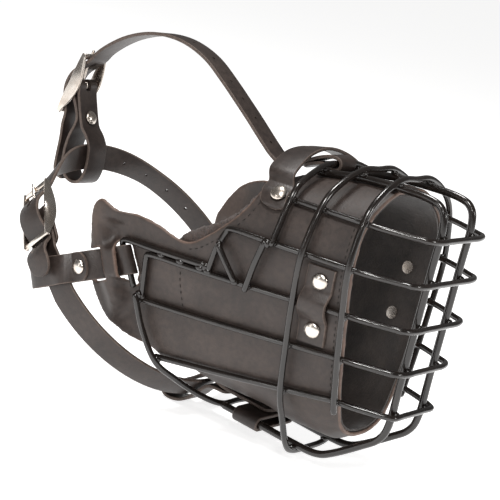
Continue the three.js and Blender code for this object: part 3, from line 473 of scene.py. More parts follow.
class Look:
    """A Principled material and the nodes that feed it; even values go on its own sockets."""

    def __init__(self, name, rough, metal=0.0, **extra):
        self.material = bpy.data.materials.new(name)
        self.material.use_nodes = True
        self.nodes, self.links = self.material.node_tree.nodes, self.material.node_tree.links
        self.bsdf = fill(self.nodes["Principled BSDF"], Roughness=rough, Metallic=metal, **extra)
        self.where = self.nodes.new("ShaderNodeTexCoord").outputs["Object"]

    def put(self, socket, source):
        self.links.new(source, self.bsdf.inputs[socket])

    def noise(self, scale, detail=4.0, roughness=0.55, distortion=0.0):
        n = fill(self.nodes.new("ShaderNodeTexNoise"), Scale=scale, Detail=detail, Roughness=roughness,
                 Distortion=distortion)
        self.links.new(self.where, n.inputs["Vector"])
        return n.outputs["Fac"]

    def ramp(self, source, low, dark, high, light):
        """Dark up to low and light from high; a single number is a grey."""
        r = self.nodes.new("ShaderNodeValToRGB")
        for element, at, colour in zip(r.color_ramp.elements, (low, high), (dark, light)):
            element.position = at
            element.color = (*colour, 1) if isinstance(colour, tuple) else (colour, colour, colour, 1)
        self.links.new(source, r.inputs["Fac"])
        return r.outputs["Color"]

    def mix(self, factor, a, b, blend="MIX"):
        m = self.nodes.new("ShaderNodeMix")
        m.data_type = "RGBA"
        m.blend_type = blend
        for socket, value in ((m.inputs["Factor"], factor), (m.inputs["A"], a), (m.inputs["B"], b)):
            if isinstance(value, bpy.types.NodeSocket):
                self.links.new(value, socket)
            else:
                socket.default_value = (*value, 1) if isinstance(value, tuple) else value
        return m.outputs["Result"]

    def scaled(self, source, low, high):
        m = fill(self.nodes.new("ShaderNodeMapRange"), To_Min=low, To_Max=high)
        self.links.new(source, m.inputs["Value"])
        return m.outputs["Result"]

    def bump(self, *layers):
        """Stacked bumps: (height source, strength, distance in metres)."""
        previous = None
        for source, strength, distance in layers:
            b = fill(self.nodes.new("ShaderNodeBump"), Strength=strength, Distance=distance)
            self.links.new(source, b.inputs["Height"])
            if previous:
                self.links.new(previous, b.inputs["Normal"])
            previous = b.outputs["Normal"]
        self.put("Normal", previous)


def leather(name, dark, light, rough, grain, edge=None):
    """Grained leather; an edge colour shows where the mesh's "edge" value is high."""
    look = Look(name, rough)
    tone, fine = look.noise(24, 5, 0.6), look.noise(260, 4, 0.6)
    pores = fill(look.nodes.new("ShaderNodeTexVoronoi"), Scale=grain)
    pores.feature = "DISTANCE_TO_EDGE"
    look.links.new(look.where, pores.inputs["Vector"])
    speck = look.ramp(fine, 0.35, 0.72, 0.62, 1.12)
    colour = look.mix(1.0, look.ramp(tone, 0.3, dark, 0.72, light), speck, "MULTIPLY")
    if edge:
        reach = look.nodes.new("ShaderNodeAttribute")
        reach.attribute_name = "edge"
        worn = look.nodes.new("ShaderNodeMath")
        worn.operation = "MULTIPLY"
        look.links.new(reach.outputs["Fac"], worn.inputs[0])
        look.links.new(look.scaled(fine, 0.35, 1.2), worn.inputs[1])
        colour = look.mix(worn.outputs[0], colour, edge)
    look.put("Base Color", colour)
    look.put("Roughness", look.scaled(fine, rough - 0.1, rough + 0.12))
    look.bump((pores.outputs["Distance"], 0.35, 0.00035), (fine, 0.25, 0.0004), (tone, 0.3, 0.0012))
    return look.material


def cut_edge():
    """The raw, dyed edge of a strap, with its fibres."""
    look = Look("strap_edge", 0.62)
    dark, light = (0.05, 0.035, 0.028), (0.19, 0.14, 0.115)
    fibres, broad = look.noise(520, 6, 0.7), look.noise(60, 3, 0.5)
    look.put("Base Color", look.mix(broad, look.ramp(fibres, 0.32, dark, 0.66, light), dark))
    look.bump((fibres, 0.5, 0.0004))
    return look.material


def coated_wire():
    look = Look("coated_wire", 0.26, Coat_Weight=0.35, Coat_Roughness=0.1)
    drift, grit = look.noise(38, 4, 0.6), look.noise(420, 3, 0.6)
    look.put("Base Color", look.ramp(drift, 0.3, (0.004, 0.0028, 0.0022), 0.75, (0.014, 0.0095, 0.0075)))
    look.put("Roughness", look.scaled(grit, 0.14, 0.3))
    look.bump((drift, 0.25, 0.0012), (grit, 0.12, 0.0002))
    return look.material


def nickel():
    look = Look("nickel", 0.24, metal=1.0)
    tarnish, scratch = look.noise(70, 5, 0.6), look.noise(900, 5, 0.7, 0.4)
    look.put("Base Color", look.ramp(tarnish, 0.25, (0.5, 0.42, 0.35), 0.6, (0.78, 0.72, 0.66)))
    look.put("Roughness", look.scaled(scratch, 0.16, 0.36))
    look.bump((scratch, 0.08, 0.0002), (tarnish, 0.1, 0.0005))
    return look.material


def suede():
    look = Look("suede", 0.95, Sheen_Weight=0.35, Sheen_Roughness=0.5)
    nap, patch = look.noise(700, 6, 0.75), look.noise(45, 4, 0.6, 0.6)
    # The suede's own dark brown, made darker still as painted shade for the shaded inside of the basket.
    colour = look.ramp(patch, 0.3, (0.012, 0.008, 0.006), 0.7, (0.038, 0.027, 0.022))
    look.put("Base Color", look.mix(1.0, colour, look.ramp(nap, 0.35, 0.6, 0.65, 1.3), "MULTIPLY"))
    look.bump((nap, 0.7, 0.0006), (patch, 0.3, 0.001))
    return look.material


def felt():
    look = Look("felt", 1.0, Sheen_Weight=0.25, Sheen_Roughness=0.6)
    wool, patch = look.noise(330, 8, 0.8, 1.2), look.noise(90, 4, 0.6)
    colour = look.ramp(wool, 0.38, (0.012, 0.007, 0.005), 0.6, (0.14, 0.085, 0.065))
    look.put("Base Color", look.mix(look.scaled(patch, 0.0, 0.6), colour, (0.02, 0.012, 0.009)))
    look.bump((wool, 1.0, 0.003))
    return look.material


def thread():
    look = Look("thread", 0.8)
    twist = look.noise(900, 4)
    look.put("Base Color", look.ramp(twist, 0.3, (0.006, 0.005, 0.004), 0.7, (0.03, 0.024, 0.02)))
    return look.material


WIRE, NICKEL, SUEDE, FELT = coated_wire(), nickel(), suede(), felt()
STRAP = leather("strap_leather", (0.018, 0.0115, 0.0095), (0.043, 0.031, 0.026), 0.42, 620)
EDGE = cut_edge()
LINER_LEATHER = leather("liner_leather", (0.021, 0.0135, 0.011), (0.054, 0.039, 0.0325), 0.5, 540,
                        (0.2, 0.13, 0.1))
THREAD = thread()

# ---------- wires and their welds ----------
routes = {}
for wire_name, (control, radius, closed) in wire_routes().items():
    line = catmull(control, closed=closed, fine=20)
    length = np.linalg.norm(np.diff(line, axis=0), axis=1).sum()
    points = even(line, max(6, int(length / 1.6)), closed)
    routes[wire_name] = (points, radius)
    verts, faces = tube(points, radius, closed)
    make(f"{wire_name}_coated", verts, faces, slot="coated_wire", replaces=[wire_name], materials=[WIRE])


def welds():
    """A small bead of metal wherever two wires cross or meet."""
    parts, names = [], list(routes)
    for i, a in enumerate(names):
        pa, ra = routes[a]
        for b in names[i + 1:]:
            pb, rb = routes[b]
            reach = ra + rb + 1.5
            far = np.maximum(np.maximum(pa.min(0) - pb.max(0), pb.min(0) - pa.max(0)), 0)
            if np.linalg.norm(far) > reach:
                continue
            gaps = np.linalg.norm(pa[:, None] - pb[None], axis=2)
            for _ in range(24):
                m, n = np.unravel_index(np.argmin(gaps), gaps.shape)
                if gaps[m, n] > reach:
                    break
                across = pb[n] - pa[m]
                middle = pa[m] + across * (ra / (ra + rb))
                ta, tb = tangents(pa)[m], tangents(pb)[n]
                one = unit(ta + tb * (1 if ta.dot(tb) >= 0 else -1))
                axes = axes_for(across if np.linalg.norm(across) > 1e-6 else vec(1, 0, 0))
                two = unit(np.cross(axes[2], one))
                one = np.cross(two, axes[2])
                grow = rng.uniform(0.92, 1.1)
                parts.append(ellipsoid(middle, (one, two, axes[2]), (3.3 * grow, 2.9 * grow, 2.3 * grow)))
                near = (np.linalg.norm(pa - pa[m], axis=1) < 16)[:, None] & \
                    (np.linalg.norm(pb - pb[n], axis=1) < 16)[None]
                gaps[near] = 1e6
    return gathered(parts)


verts, faces = welds()
make("weld_beads", verts, faces, slot="coated_wire", materials=[WIRE])


# ---------- the leather sleeve ----------
def flap_out(x, y, z, far):
    """How far a flap stands out; the far one stands upright, and only its strip is flared."""
    u = (y - EYE_Y) * CF - (z - EYE_Z) * SF
    w = (y - EYE_Y) * SF + (z - EYE_Z) * CF
    raised = 1 - smooth_step(13, 24, w)
    start = np.where(w < -12, -4.0 + np.maximum(0, -19 - w), -14 + 10 * raised)
    ease = 14 - 7 * raised * smooth_step(-34, -22, w)
    pinched = smooth_step(10.5, 16, np.abs(w)) * smooth_step(34, 24, np.abs(w)) * smooth_step(14, 5, u)
    line = 94 - 4 * smooth_step(15, 27, u) - 0.35 * np.maximum(0, -28 - z)
    upright = np.where(far, (1 - smooth_step(14, 27, w)) * (1 - smooth_step(27, 40, u)), 1)
    flare = np.maximum(0, line - x) * smooth_step(start, start + ease, u) * smooth_step(30, 60, x)
    return upright * (1 - 0.85 * pinched) * flare


def keel(y):
    return smooth_step(-4, 14, y) * (1 - 0.45 * smooth_step(45, 68, y))


def sleeve_ring(y, inside, count):
    k = keel(y)
    half = half_section(y) + [(33 + spread(y) / 2, -86 - 3 * k), (18 + spread(y) / 3, -95.5 - 6 * k)]
    loop = half + [(0, -98 - 9 * k)] + [(-x, z) for x, z in half[1:]][::-1]
    line = even(catmull(loop, closed=True, centripetal=True, fine=14), count, True)
    t = tangents(line, True)
    inward = np.column_stack([-t[:, 1], t[:, 0]])
    wrong = inward[:, 0] * line[:, 0] + inward[:, 1] * (line[:, 1] + 5) > 0
    inward[wrong] *= -1
    p = line + inward * inside
    p[:, 0] += np.sign(p[:, 0]) * flap_out(np.abs(p[:, 0]) + inside - SKIN, y, p[:, 1], p[:, 0] > 0)
    return np.column_stack([p[:, 0], np.full(count, y), p[:, 1]])


def shell(name, inside, thickness, stations, count):
    """A closed sleeve-shaped shell between two depths inside the wires."""
    rows = [sleeve_ring(y, inside, count) for y in stations]
    rows += [sleeve_ring(y, inside + thickness, count) for y in stations][::-1]
    return outward(make(name, np.vstack(rows), ring_faces(len(rows), count, True), body=None))


def cover(obj, material):
    """Gives an object one material."""
    obj.data.materials.clear()
    obj.data.materials.append(material)
    obj.data.polygons.foreach_set("material_index", [0] * len(obj.data.polygons))


def outward(obj):
    """Turns an object's faces outwards."""
    mesh = bmesh.new()
    mesh.from_mesh(obj.data)
    bmesh.ops.recalc_face_normals(mesh, faces=mesh.faces)
    mesh.to_mesh(obj.data)
    mesh.free()
    return obj


def sleeve(name, inside, thickness, stations, outline, holes=(), count=132, far_outline=None):
    """A shell trimmed to a side-view outline, or to one for each side."""
    if far_outline is None:
        obj = shell(name, inside, thickness, stations, count)
        return carve(obj, [prism(outline)], "INTERSECT")
    halves = []
    for trim, low, high in ((outline, -HALF_SPACE, 0.3), (far_outline, -0.3, HALF_SPACE)):
        half = shell("half", inside, thickness, stations, count)
        carve(half, [prism(trim, low, high)], "INTERSECT")
        carve(half, [prism(h, low - 5, high + 5) for h in holes])
        verts = np.array([v.co[:] for v in half.data.vertices]) / MM
        halves.append((verts, [tuple(f.vertices) for f in half.data.polygons]))
        bpy.data.objects.remove(half)
    return make(name, *gathered(halves), body=None)


def remeshed(obj, voxel, rounds):
    mod = obj.modifiers.new("remesh", "REMESH")
    mod.mode = "VOXEL"
    mod.voxel_size = voxel * MM
    mod.use_smooth_shade = True
    soft = obj.modifiers.new("smooth", "SMOOTH")
    soft.factor = 0.5
    soft.iterations = rounds
    return baked(obj)


def outline_distance(yz, outlines):
    """Distance of each (y, z) from the nearest outline's line."""
    best = np.full(len(yz), 1e9)
    for outline in outlines:
        line = even(np.vstack([outline, outline[:1]]), max(60, int(len(outline) * 6)))
        for start in range(0, len(yz), 20000):
            part = yz[start:start + 20000]
            d = np.linalg.norm(part[:, None] - line[None], axis=2).min(1)
            best[start:start + 20000] = np.minimum(best[start:start + 20000], d)
    return best


ARCH = [(86, 100), (86, 66), (88, 52), (94, 40), (103, 29), (112, 20), (120, 13.5), (128, 10.5)]
FLAP = [(137, 11.5), (150, 15), (166, 17), (181, 17), (189, 19.5), (196, 21), (201, 16), (201.5, 4),
        (200, -12), (197, -36), (192, -50), (184, -63), (172, -71.5), (157, -74.5), (143, -75.5)]
FAR_FLAP = [(138, 13), (148, 20), (157, 30), (166, 36), (175, 36.8), (184, 34.2), (193, 29.8), (201, 23.6),
            (208, 13.8), (213, 3.5), (216, -7), (214, -20), (205, -38), (191, -52), (177, -64), (167, -71.5),
            (155, -74), (143, -74.5)]
THROAT = [(134, -82), (122, -91), (108, -97), (92, -103), (66, -112)]


def rim_y(z, inset=0.0):
    return 1 + inset + RIM_LEAN * z


def liner_line(flap):
    rear_edge = catmull(ARCH[1:] + flap + THROAT, centripetal=True, fine=6)
    return np.vstack([[(rim_y(-112), -112), (rim_y(100), 100), (86, 100)], rear_edge])


liner_outline, far_line = liner_line(FLAP), liner_line(FAR_FLAP)
window = [cheek_place(u, w) for u, w in ((-4.4, -11.6), (-4.4, 11.6), (-2.5, 12.6), (-2.5, 14.5), (2.3, 13.6),
                                         (2.3, -17.5), (-1.6, -18.5), (-2.5, -12.6))]
slot_cut = [cheek_place(u, w) for u, w in ((14.5, 11.7), (30, 11.7), (30, -11.7), (14.5, -11.7))]
stations = np.concatenate([np.arange(-8, 148, 4.0), np.arange(148, 204, 2.0), np.arange(204, 224, 3.5)])
liner = sleeve("liner_shell", SKIN, LINER, stations, liner_outline, (window, slot_cut), far_outline=far_line)
remeshed(liner, 1.15, 4)
co = np.empty(len(liner.data.vertices) * 3)
liner.data.vertices.foreach_get("co", co)
co = co.reshape(-1, 3) / MM
openings = [np.array(window), np.array(slot_cut)]
edge_gap = np.where(co[:, 0] < 0, outline_distance(co[:, 1:], [liner_outline, *openings]),
                    outline_distance(co[:, 1:], [far_line, *openings]))
edge_attr = liner.data.attributes.new("edge", "FLOAT", "POINT")
tips = 0.3 * smooth_step(186, 200, co[:, 1]) * smooth_step(-70, 10, co[:, 2])
edge_value = np.clip(np.maximum((1.5 - edge_gap) / 1.1, tips), 0, 1)
edge_attr.data.foreach_set("value", edge_value.astype(np.float32))
cover(liner, LINER_LEATHER)
settle(liner, "basket", "liner_leather", ["leather_liner"])

inset = SKIN + LINER + GAP
lining_back = [(84, 100), (84, 66), (86, 50), (93, 37), (103, 25), (113, 16), (122, 8), (140, 6), (148, -30),
               (142, -68), (120, -82), (98, -87), (74, -92), (62, -112)]
lining_line = catmull(lining_back[1:], centripetal=True, fine=5)
lining = sleeve("lining_shell", inset, LINING, np.arange(-8, 158, 5.0),
                np.vstack([[(rim_y(-112, 1.5), -112), (rim_y(100, 1.5), 100), (84, 100)], lining_line]))
sharpen(lining, 40)
cover(lining, SUEDE)
settle(lining, "basket", "suede", ["suede_lining"])

pad_line = catmull([(66, 60), (72, 42), (86, 26), (104, 10), (120, 0), (130, 0.5), (136.5, 5), (135, 12),
                    (126, 20), (112, 29), (101, 38), (93, 50), (90, 62)], centripetal=True, fine=5)
pad = sleeve("pad_roll", inset + LINING + GAP, PAD, np.arange(56, 146, 4.0),
             np.vstack([[(88, 100), (66, 100)], pad_line]))
remeshed(pad, 1.3, 9)
lumps = pad.modifiers.new("lumps", "DISPLACE")
clouds = bpy.data.textures.new("wool", "CLOUDS")
clouds.noise_scale = 0.0035
clouds.noise_depth = 4
lumps.texture = clouds
lumps.texture_coords = "LOCAL"
lumps.strength = 0.0028
lumps.mid_level = 0.55
baked(pad)
cover(pad, FELT)
settle(pad, "basket", "felt", ["nose_pad"])

# ---------- stitching on the liner ----------
liner_tree = BVHTree.FromObject(liner, bpy.context.evaluated_depsgraph_get())


def on_liner(side, y, z):
    hit, normal, _, _ = liner_tree.ray_cast(Vector((side * 0.2, y * MM, z * MM)), Vector((-side, 0, 0)))
    return (np.array(hit) / MM, np.array(normal)) if hit else (None, None)


def stitch_row(side, path, gap=4.4, long=2.7, thick=0.42):
    parts = []
    line = catmull(path, centripetal=True, fine=12)
    run = np.linalg.norm(np.diff(line, axis=0), axis=1).sum()
    spots = even(line, max(2, int(run / gap)))
    for k in range(len(spots) - 1):
        y, z = spots[k]
        centre, normal = on_liner(side, y, z)
        ahead, _ = on_liner(side, *spots[k + 1])
        if centre is None or ahead is None:
            continue
        along = unit(ahead - centre)
        out = unit(normal - along * normal.dot(along))
        wide = np.cross(out, along)
        parts.append(ellipsoid(centre + out * 0.1, (along, wide, out), (long / 2, thick, thick), 6, 8))
    return parts


stitches = []
for side in (-1, 1):
    stitches += stitch_row(side, [(81, 62), (82.5, 50), (89, 37), (98, 25.5), (107, 16.5), (116, 9.5),
                                  (126, 5.5)])
    stitches += stitch_row(side, [(rim_y(z, 7), z) for z in (70, 45, 20, 0, -25, -50, -72)])
    stitches += stitch_row(side, [(127, 1), (126.5, -16), (123, -31), (119, -44)], gap=4.0)
verts, faces = gathered(stitches)
make("liner_stitches", verts, faces, slot="liner_leather", materials=[THREAD])


# ---------- straps ----------
def strap_section(width):
    """A strap's section, round at the edges, and which of its spans are edge."""
    w, t, c = width / 2, LEATHER / 2, EDGE_ROUND
    points, edge = [], []
    for sx, sy, start in ((1, 1, 0), (-1, 1, 90), (-1, -1, 180), (1, -1, 270)):
        for k in range(4):
            a = math.radians(start + 30 * k)
            points.append((sx * (w - c) + c * math.cos(a), sy * (t - c) + c * math.sin(a)))
    for k in range(16):
        x = (points[k][0] + points[(k + 1) % 16][0]) / 2
        edge.append(1 if abs(x) > w - c * 1.05 else 0)
    return np.array(points), edge


def strap(name, centres, across, out, width, body="basket", replaces=(), tips=(0, 0), closed=False,
          cuts=()):
    """A flat leather strap: tips give how far each end is rounded."""
    section, edge = strap_section(width)
    n = len(centres)
    run = np.concatenate([[0], np.cumsum(np.linalg.norm(np.diff(centres, axis=0), axis=1))])
    scale = np.ones(n)
    for tip, distance in ((tips[0], run), (tips[1], run[-1] - run)):
        if tip:
            scale = np.minimum(scale, np.sqrt(np.clip(1 - (1 - np.clip(distance / tip, 0.02, 1)) ** 2, 0, 1)))
    rows = []
    for k in range(n):
        s = section * [scale[k], 1]
        rows.append(centres[k] + np.outer(s[:, 0], across[k]) + np.outer(s[:, 1], out[k]))
    faces = ring_faces(n, len(section), closed)
    index = edge * n if closed else edge * (n - 1) + [1, 1]
    obj = outward(make(name, np.vstack(rows), faces, body=None, materials=[STRAP, EDGE], index=index))
    carve(obj, cuts)
    sharpen(obj)
    settle(obj, body, "strap_leather", replaces)
    return obj


def planar(points, count, at, across, closed=False):
    """Stations of a strap whose centre line lies in a plane: at(a, b) maps to space."""
    line = even(catmull(points, closed, True, 14), count, closed)
    t = tangents(line, closed)
    origin = at(0, 0)
    centres = np.array([at(a, b) for a, b in line])
    out = np.array([unit(at(ty, -tx) - origin) for tx, ty in t])
    return centres, np.tile(across, (len(line), 1)), out, line


def side_normal(side, y, z):
    slope_y = (side_x(y + 2, z) - side_x(y - 2, z)) / 4
    slope_z = (side_x(y, z + 2) - side_x(y, z - 2)) / 4
    return unit(vec(side, -slope_y, -slope_z))


def rivet(name, point, out, cap, grip, head, replaces, body="basket"):
    """A domed rivet: its cap's back face is at the point."""
    rows = [(head * 0.4, -grip - 1), (head, -grip - 0.8), (head, -grip), (RIVET_R, -grip), (RIVET_R, 0),
            (cap - 0.2, 0), (cap, 0.25), (cap - 0.05, 0.6), (cap * 0.93, 1.0), (cap * 0.82, 1.5),
            (cap * 0.66, 2.0), (cap * 0.46, 2.4), (cap * 0.22, 2.63), (0.05, 2.7)]
    verts, faces = lathe(rows, np.asarray(point, float), out)
    obj = make(name, verts, faces, body=body, slot="nickel", replaces=replaces, materials=[NICKEL])
    sharpen(obj)
    return obj


TAB_Y = 22
TAB_SKIN = SKIN - LEATHER / 2 - GAP
slope = (side_x(TAB_Y + 5, 0) - side_x(TAB_Y - 5, 0)) / 10
hump = LOOP_R + LEATHER / 2 + GAP + TAB_SKIN + 0.3
tab_path = [(27, 0), (18, 0), (11, 0.3), (6, hump - 2.2), (2.4, hump), (-3.6, hump), (-7.6, hump - 2.2),
            (-12.5, 0.3), (-19, 0), (-28, 0)]
tab_path = [(side_x(TAB_Y, z) - TAB_SKIN + extra + 0.15, z) for z, extra in tab_path]
KEEPER_RIVET = (70.5, 61)
for side, name in BOTH_SIDES:
    centres, across, out, _ = planar(tab_path, 70, lambda a, b: vec(side * a, TAB_Y, b),
                                     unit(vec(side * slope, 1, 0)))
    strap(f"side_tab_leather_{name}", centres, across, out, STRAP_W, replaces=[f"side_tab_{name}"])
    for z, place_name in ((17.5, "high"), (-17.5, "low")):
        n = side_normal(side, TAB_Y, z)
        skin = vec(side * (side_x(TAB_Y, z) - SKIN), TAB_Y, z)
        rivet(f"tab_rivet_cap_{place_name}_{name}", skin + n * (LEATHER + 2 * GAP + 0.25), n, 5.8,
              LEATHER + LINER + LINING + 3 * GAP + 0.7, 4.8, [f"tab_rivet_{place_name}_{name}"])
    y, z = KEEPER_RIVET
    n = side_normal(side, y, z)
    skin = vec(side * (side_x(y, z) - SKIN), y, z)
    rivet(f"keeper_rivet_cap_{name}", skin + n * (LEATHER + 2 * GAP + 1.6), n, 5.8, LEATHER + LINER, RIVET_R,
          [f"keeper_rivet_{name}"])


def keeper():
    def at_y(z):
        return 71.5 + 0.5 * (z - 57)

    clear = SKIN - LEATHER / 2 - GAP - 1
    low = [(side_x(at_y(z), z) - clear, z) for z in (53, 58, 63, 68)]
    half = [(0, 90), (13, 89.2), (27, 86.3), (40, 81.2), (50.5, 75)]
    path = low + half[1:][::-1] + half[:1] + [(-x, z) for x, z in half[1:]] + [(-x, z) for x, z in low][::-1]
    _, _, out, line = planar(path, 110, lambda a, b: vec(a, 0, b), vec(0, 1, 0))
    centres = np.array([(a, at_y(b), b) for a, b in line])
    across = np.array([unit(vec(0.12 * np.clip(a / 50, -1, 1), 1, -0.25 * (1 - min(abs(a) / 50, 1))))
                       for a, _ in line])
    strap("nose_keeper_leather", centres, across, out, STRAP_W, replaces=["nose_keeper"], tips=(5, 5))


keeper()

# ---------- buckles ----------
neck_up = vec(0, math.cos(NECK_TILT), math.sin(NECK_TILT))
neck_axis = vec(0, -math.sin(NECK_TILT), math.cos(NECK_TILT))
near_out = vec(-math.sin(BUCKLE_AT), 0, 0) + neck_up * math.cos(BUCKLE_AT)
near_along = vec(math.cos(BUCKLE_AT), 0, 0) + neck_up * math.sin(BUCKLE_AT)
near_centre = NECK_CENTRE + near_out * NECK_R
TOP_Y, TOP_BUCKLE_Z, TOP_LEAN = 312.4, 74.7, math.radians(16.5)


def near_at(a, b):
    return near_centre + a * near_along + b * near_out


def top_at(a, b):
    return vec(0, TOP_Y - a * math.sin(TOP_LEAN) + b * math.cos(TOP_LEAN),
               TOP_BUCKLE_Z + a * math.cos(TOP_LEAN) + b * math.sin(TOP_LEAN))


def leaf():
    t = np.linspace(-1, 1, 25)
    reach = BUCKLE_HALF + 2.2
    outer = np.column_stack([t * reach, BUCKLE_RISE + 1.8 + 0.8 * (1 - t * t)])
    inner = np.column_stack([t * reach, BUCKLE_RISE - 1.6 - 6.8 * (1 - t * t) ** 1.4])[::-1]
    return np.vstack([outer, inner])


def plate(at, across, outline, low, high, round_off=0.45):
    """A plate with its rims eased."""
    middle = outline.mean(0)
    away = outline - middle
    shrink = away / np.maximum(np.linalg.norm(away, axis=1), 1e-6)[:, None] * round_off
    rows = [(outline - shrink, low), (outline, low + round_off), (outline, high - round_off),
            (outline - shrink, high)]
    verts = np.vstack([[at(a, b) + across * w for a, b in line] for line, w in rows])
    return verts, ring_faces(len(rows), len(outline))


def bar(at, across, a, b, half_width, size_a, size_b):
    angle = np.linspace(0, 2 * math.pi, 24, endpoint=False)
    ring = np.column_stack([a + size_a * np.cos(angle), b + size_b * np.sin(angle)])
    return plate(at, across, ring, -half_width, half_width, 0.3)


def buckle(name, at, across, body, node):
    parts = [plate(at, across, leaf(), *sorted((k * PLATE_IN, k * (PLATE_IN + PLATE_T)))) for k in (-1, 1)]
    half = PLATE_IN + PLATE_T - 0.2
    parts.append(bar(at, across, 0, 0, half, BUCKLE_BAR_R, BUCKLE_BAR_R))
    for a in (-BUCKLE_HALF, BUCKLE_HALF):
        parts.append(bar(at, across, a, BUCKLE_RISE, half, 2.5, 1.55))
    verts, faces = gathered(parts)
    obj = outward(make(name, verts, faces, body=None, materials=[NICKEL]))
    sharpen(obj)
    settle(obj, body, "nickel", [node])


def prong(name, at, across, body, node):
    rest = BUCKLE_RISE + BUCKLE_BAR_R + 1.15
    arm = even(catmull([(1.5, 3.0), (8, 4.4), (16, rest - 0.2), (27.5, rest + 0.1)], centripetal=True), 30)
    points = np.array([at(a, b) for a, b in arm])
    turn = np.linspace(0, 2 * math.pi, 28, endpoint=False)
    radius = BUCKLE_BAR_R + GAP + 0.75
    eye = np.array([at(radius * math.cos(a), radius * math.sin(a)) for a in turn])
    verts, faces = gathered([tube(points, 1.15, sides=14), tube(eye, 0.85, closed=True, sides=10)])
    make(name, verts, faces, body=body, slot="nickel", replaces=[node], materials=[NICKEL])


buckle("near_buckle_metal", near_at, neck_axis, "near_buckle", "near_buckle")
prong("near_prong_metal", near_at, neck_axis, "near_prong", "near_prong")
buckle("top_buckle_metal", top_at, vec(1, 0, 0), "top_buckle", "top_buckle")
prong("top_prong_metal", top_at, vec(1, 0, 0), "top_prong", "top_prong")

# ---------- neck strap ----------
WEAVE = [(BUCKLE_HALF, -1.6), (15, 4.2), (6, 9.2), (-3, 10.3), (-11, 8), (-18, 2.6), (-BUCKLE_HALF, -1.2)]


def box_at(at, across, low_a, high_a, low_b, high_b, half_width):
    outline = np.array([(low_a, low_b), (high_a, low_b), (high_a, high_b), (low_a, high_b)])
    verts = np.vstack([[at(a, b) + across * w for a, b in outline] for w in (-half_width, half_width)])
    return verts, ring_faces(2, 4)


def solid_tool(tool):
    """The tool with its faces turned outwards."""
    verts, faces = tool
    volume = 0.0
    for face in faces:
        for k in range(1, len(face) - 1):
            volume += np.dot(verts[face[0]], np.cross(verts[face[k]], verts[face[k + 1]]))
    return (verts, [f[::-1] for f in faces]) if volume < 0 else tool


def prong_slot(at, across):
    return solid_tool(box_at(at, across, 2, 21, -3, 11, 2.2))


def fold_slot(at, across):
    return solid_tool(box_at(at, across, -5.5, 8.5, -5.75, 5.75, 2.6))


def neck_station(degrees):
    turn = math.radians(degrees)
    radial = vec(-math.sin(turn), 0, 0) + neck_up * math.cos(turn)
    around = abs((degrees + 540) % 360 - 180)
    tilt = (NECK_TILT + 0.1) * 0.5 * (1 + math.cos(math.pi * min(around / 42, 1)))
    return (NECK_CENTRE + radial * NECK_R, neck_axis * math.cos(tilt) + radial * math.sin(tilt),
            radial * math.cos(tilt) - neck_axis * math.sin(tilt))


def neck_strap():
    fold_r = BUCKLE_BAR_R + GAP + LEATHER / 2 + 0.2
    fold = planar([(-26, -9.6), (-20, -7.8), (-12, -5.6), (-4, -fold_r - 0.4), (fold_r - 0.9, -2.2),
                   (fold_r, 0.4), (1.6, fold_r - 0.3), (-4, 3), (-12, -0.9), (-20, -3.9), (-31, -5.8)],
                  70, near_at, neck_axis)[:3]
    tail = planar([(33, -5.4), *WEAVE, (-32, 2.4), (-38, 3.6), (-46, 0.6), (-53, -4)], 84, near_at,
                  neck_axis)[:3]
    around = [neck_station(d) for d in np.linspace(-262, 37, 150)]
    around = tuple(np.array(column) for column in zip(*around))
    centres, across, out = (np.vstack([f, r, t]) for f, r, t in zip(fold, around, tail))
    holes = [rod(neck_station(d)[0], neck_station(d)[2], HOLE_R, HOLE_LONG) for d in (-21, -34.5, -47.5, -60)]
    strap("neck_strap_leather", centres, across, out, STRAP_W, "neck_strap", ["neck_strap"], tips=(6, 11),
          cuts=[prong_slot(near_at, neck_axis), fold_slot(near_at, neck_axis), *holes])


neck_strap()

# ---------- forehead strap and sliding loop ----------
MID_ACROSS = vec(-1, 0, 0)


def mid_at(y, z):
    return vec(0, y, z)


def forehead_strap():
    hoop = top_z(65) + BAR_R + HOOP_R + GAP + 0.3
    r = HOOP_R + GAP + LEATHER / 2 + 0.4
    weave = [tuple(top_at(a, b)[1:]) for a, b in WEAVE]
    path = [(93, 75.2), (86, 79.2), (78, 82), (71, 82), (66, hoop - r), (61.9, hoop - 3.1), (65 - r, hoop),
            (61.9, hoop + 3.1), (65.5, hoop + r), (72, 88.6), (80, 85.6), (88, 81.2), (96, 76.4), (104, 72.8),
            (112, 72.2), (120, 75.4), (129, 81.4), (147, 94.5), (162, 105), (176, 114.5), (196, 126.5),
            (217, 133), (236, 134), (255, 130.8), (275, 122.5), (291, 111.5), (299, 104), *weave,
            (318.6, 42), (317.6, 30), (317.6, 17), (317, 5), (314.4, -3)]
    centres, across, out, _ = planar(path, 300, mid_at, MID_ACROSS)
    spots = [(129, 81.4, 0.72), (147, 94.5, 0.72), (162, 105, 0.66), (176, 114.5, 0.63), (196, 126.5, 0.45),
             (217, 133, 0.18)]
    holes = [rod(mid_at(y, z), vec(0, -s, 1), HOLE_R, HOLE_LONG) for y, z, s in spots]
    strap("forehead_strap_leather", centres, across, out, STRAP_W, replaces=["forehead_strap"], tips=(5, 11),
          cuts=[prong_slot(top_at, vec(1, 0, 0)), *holes])


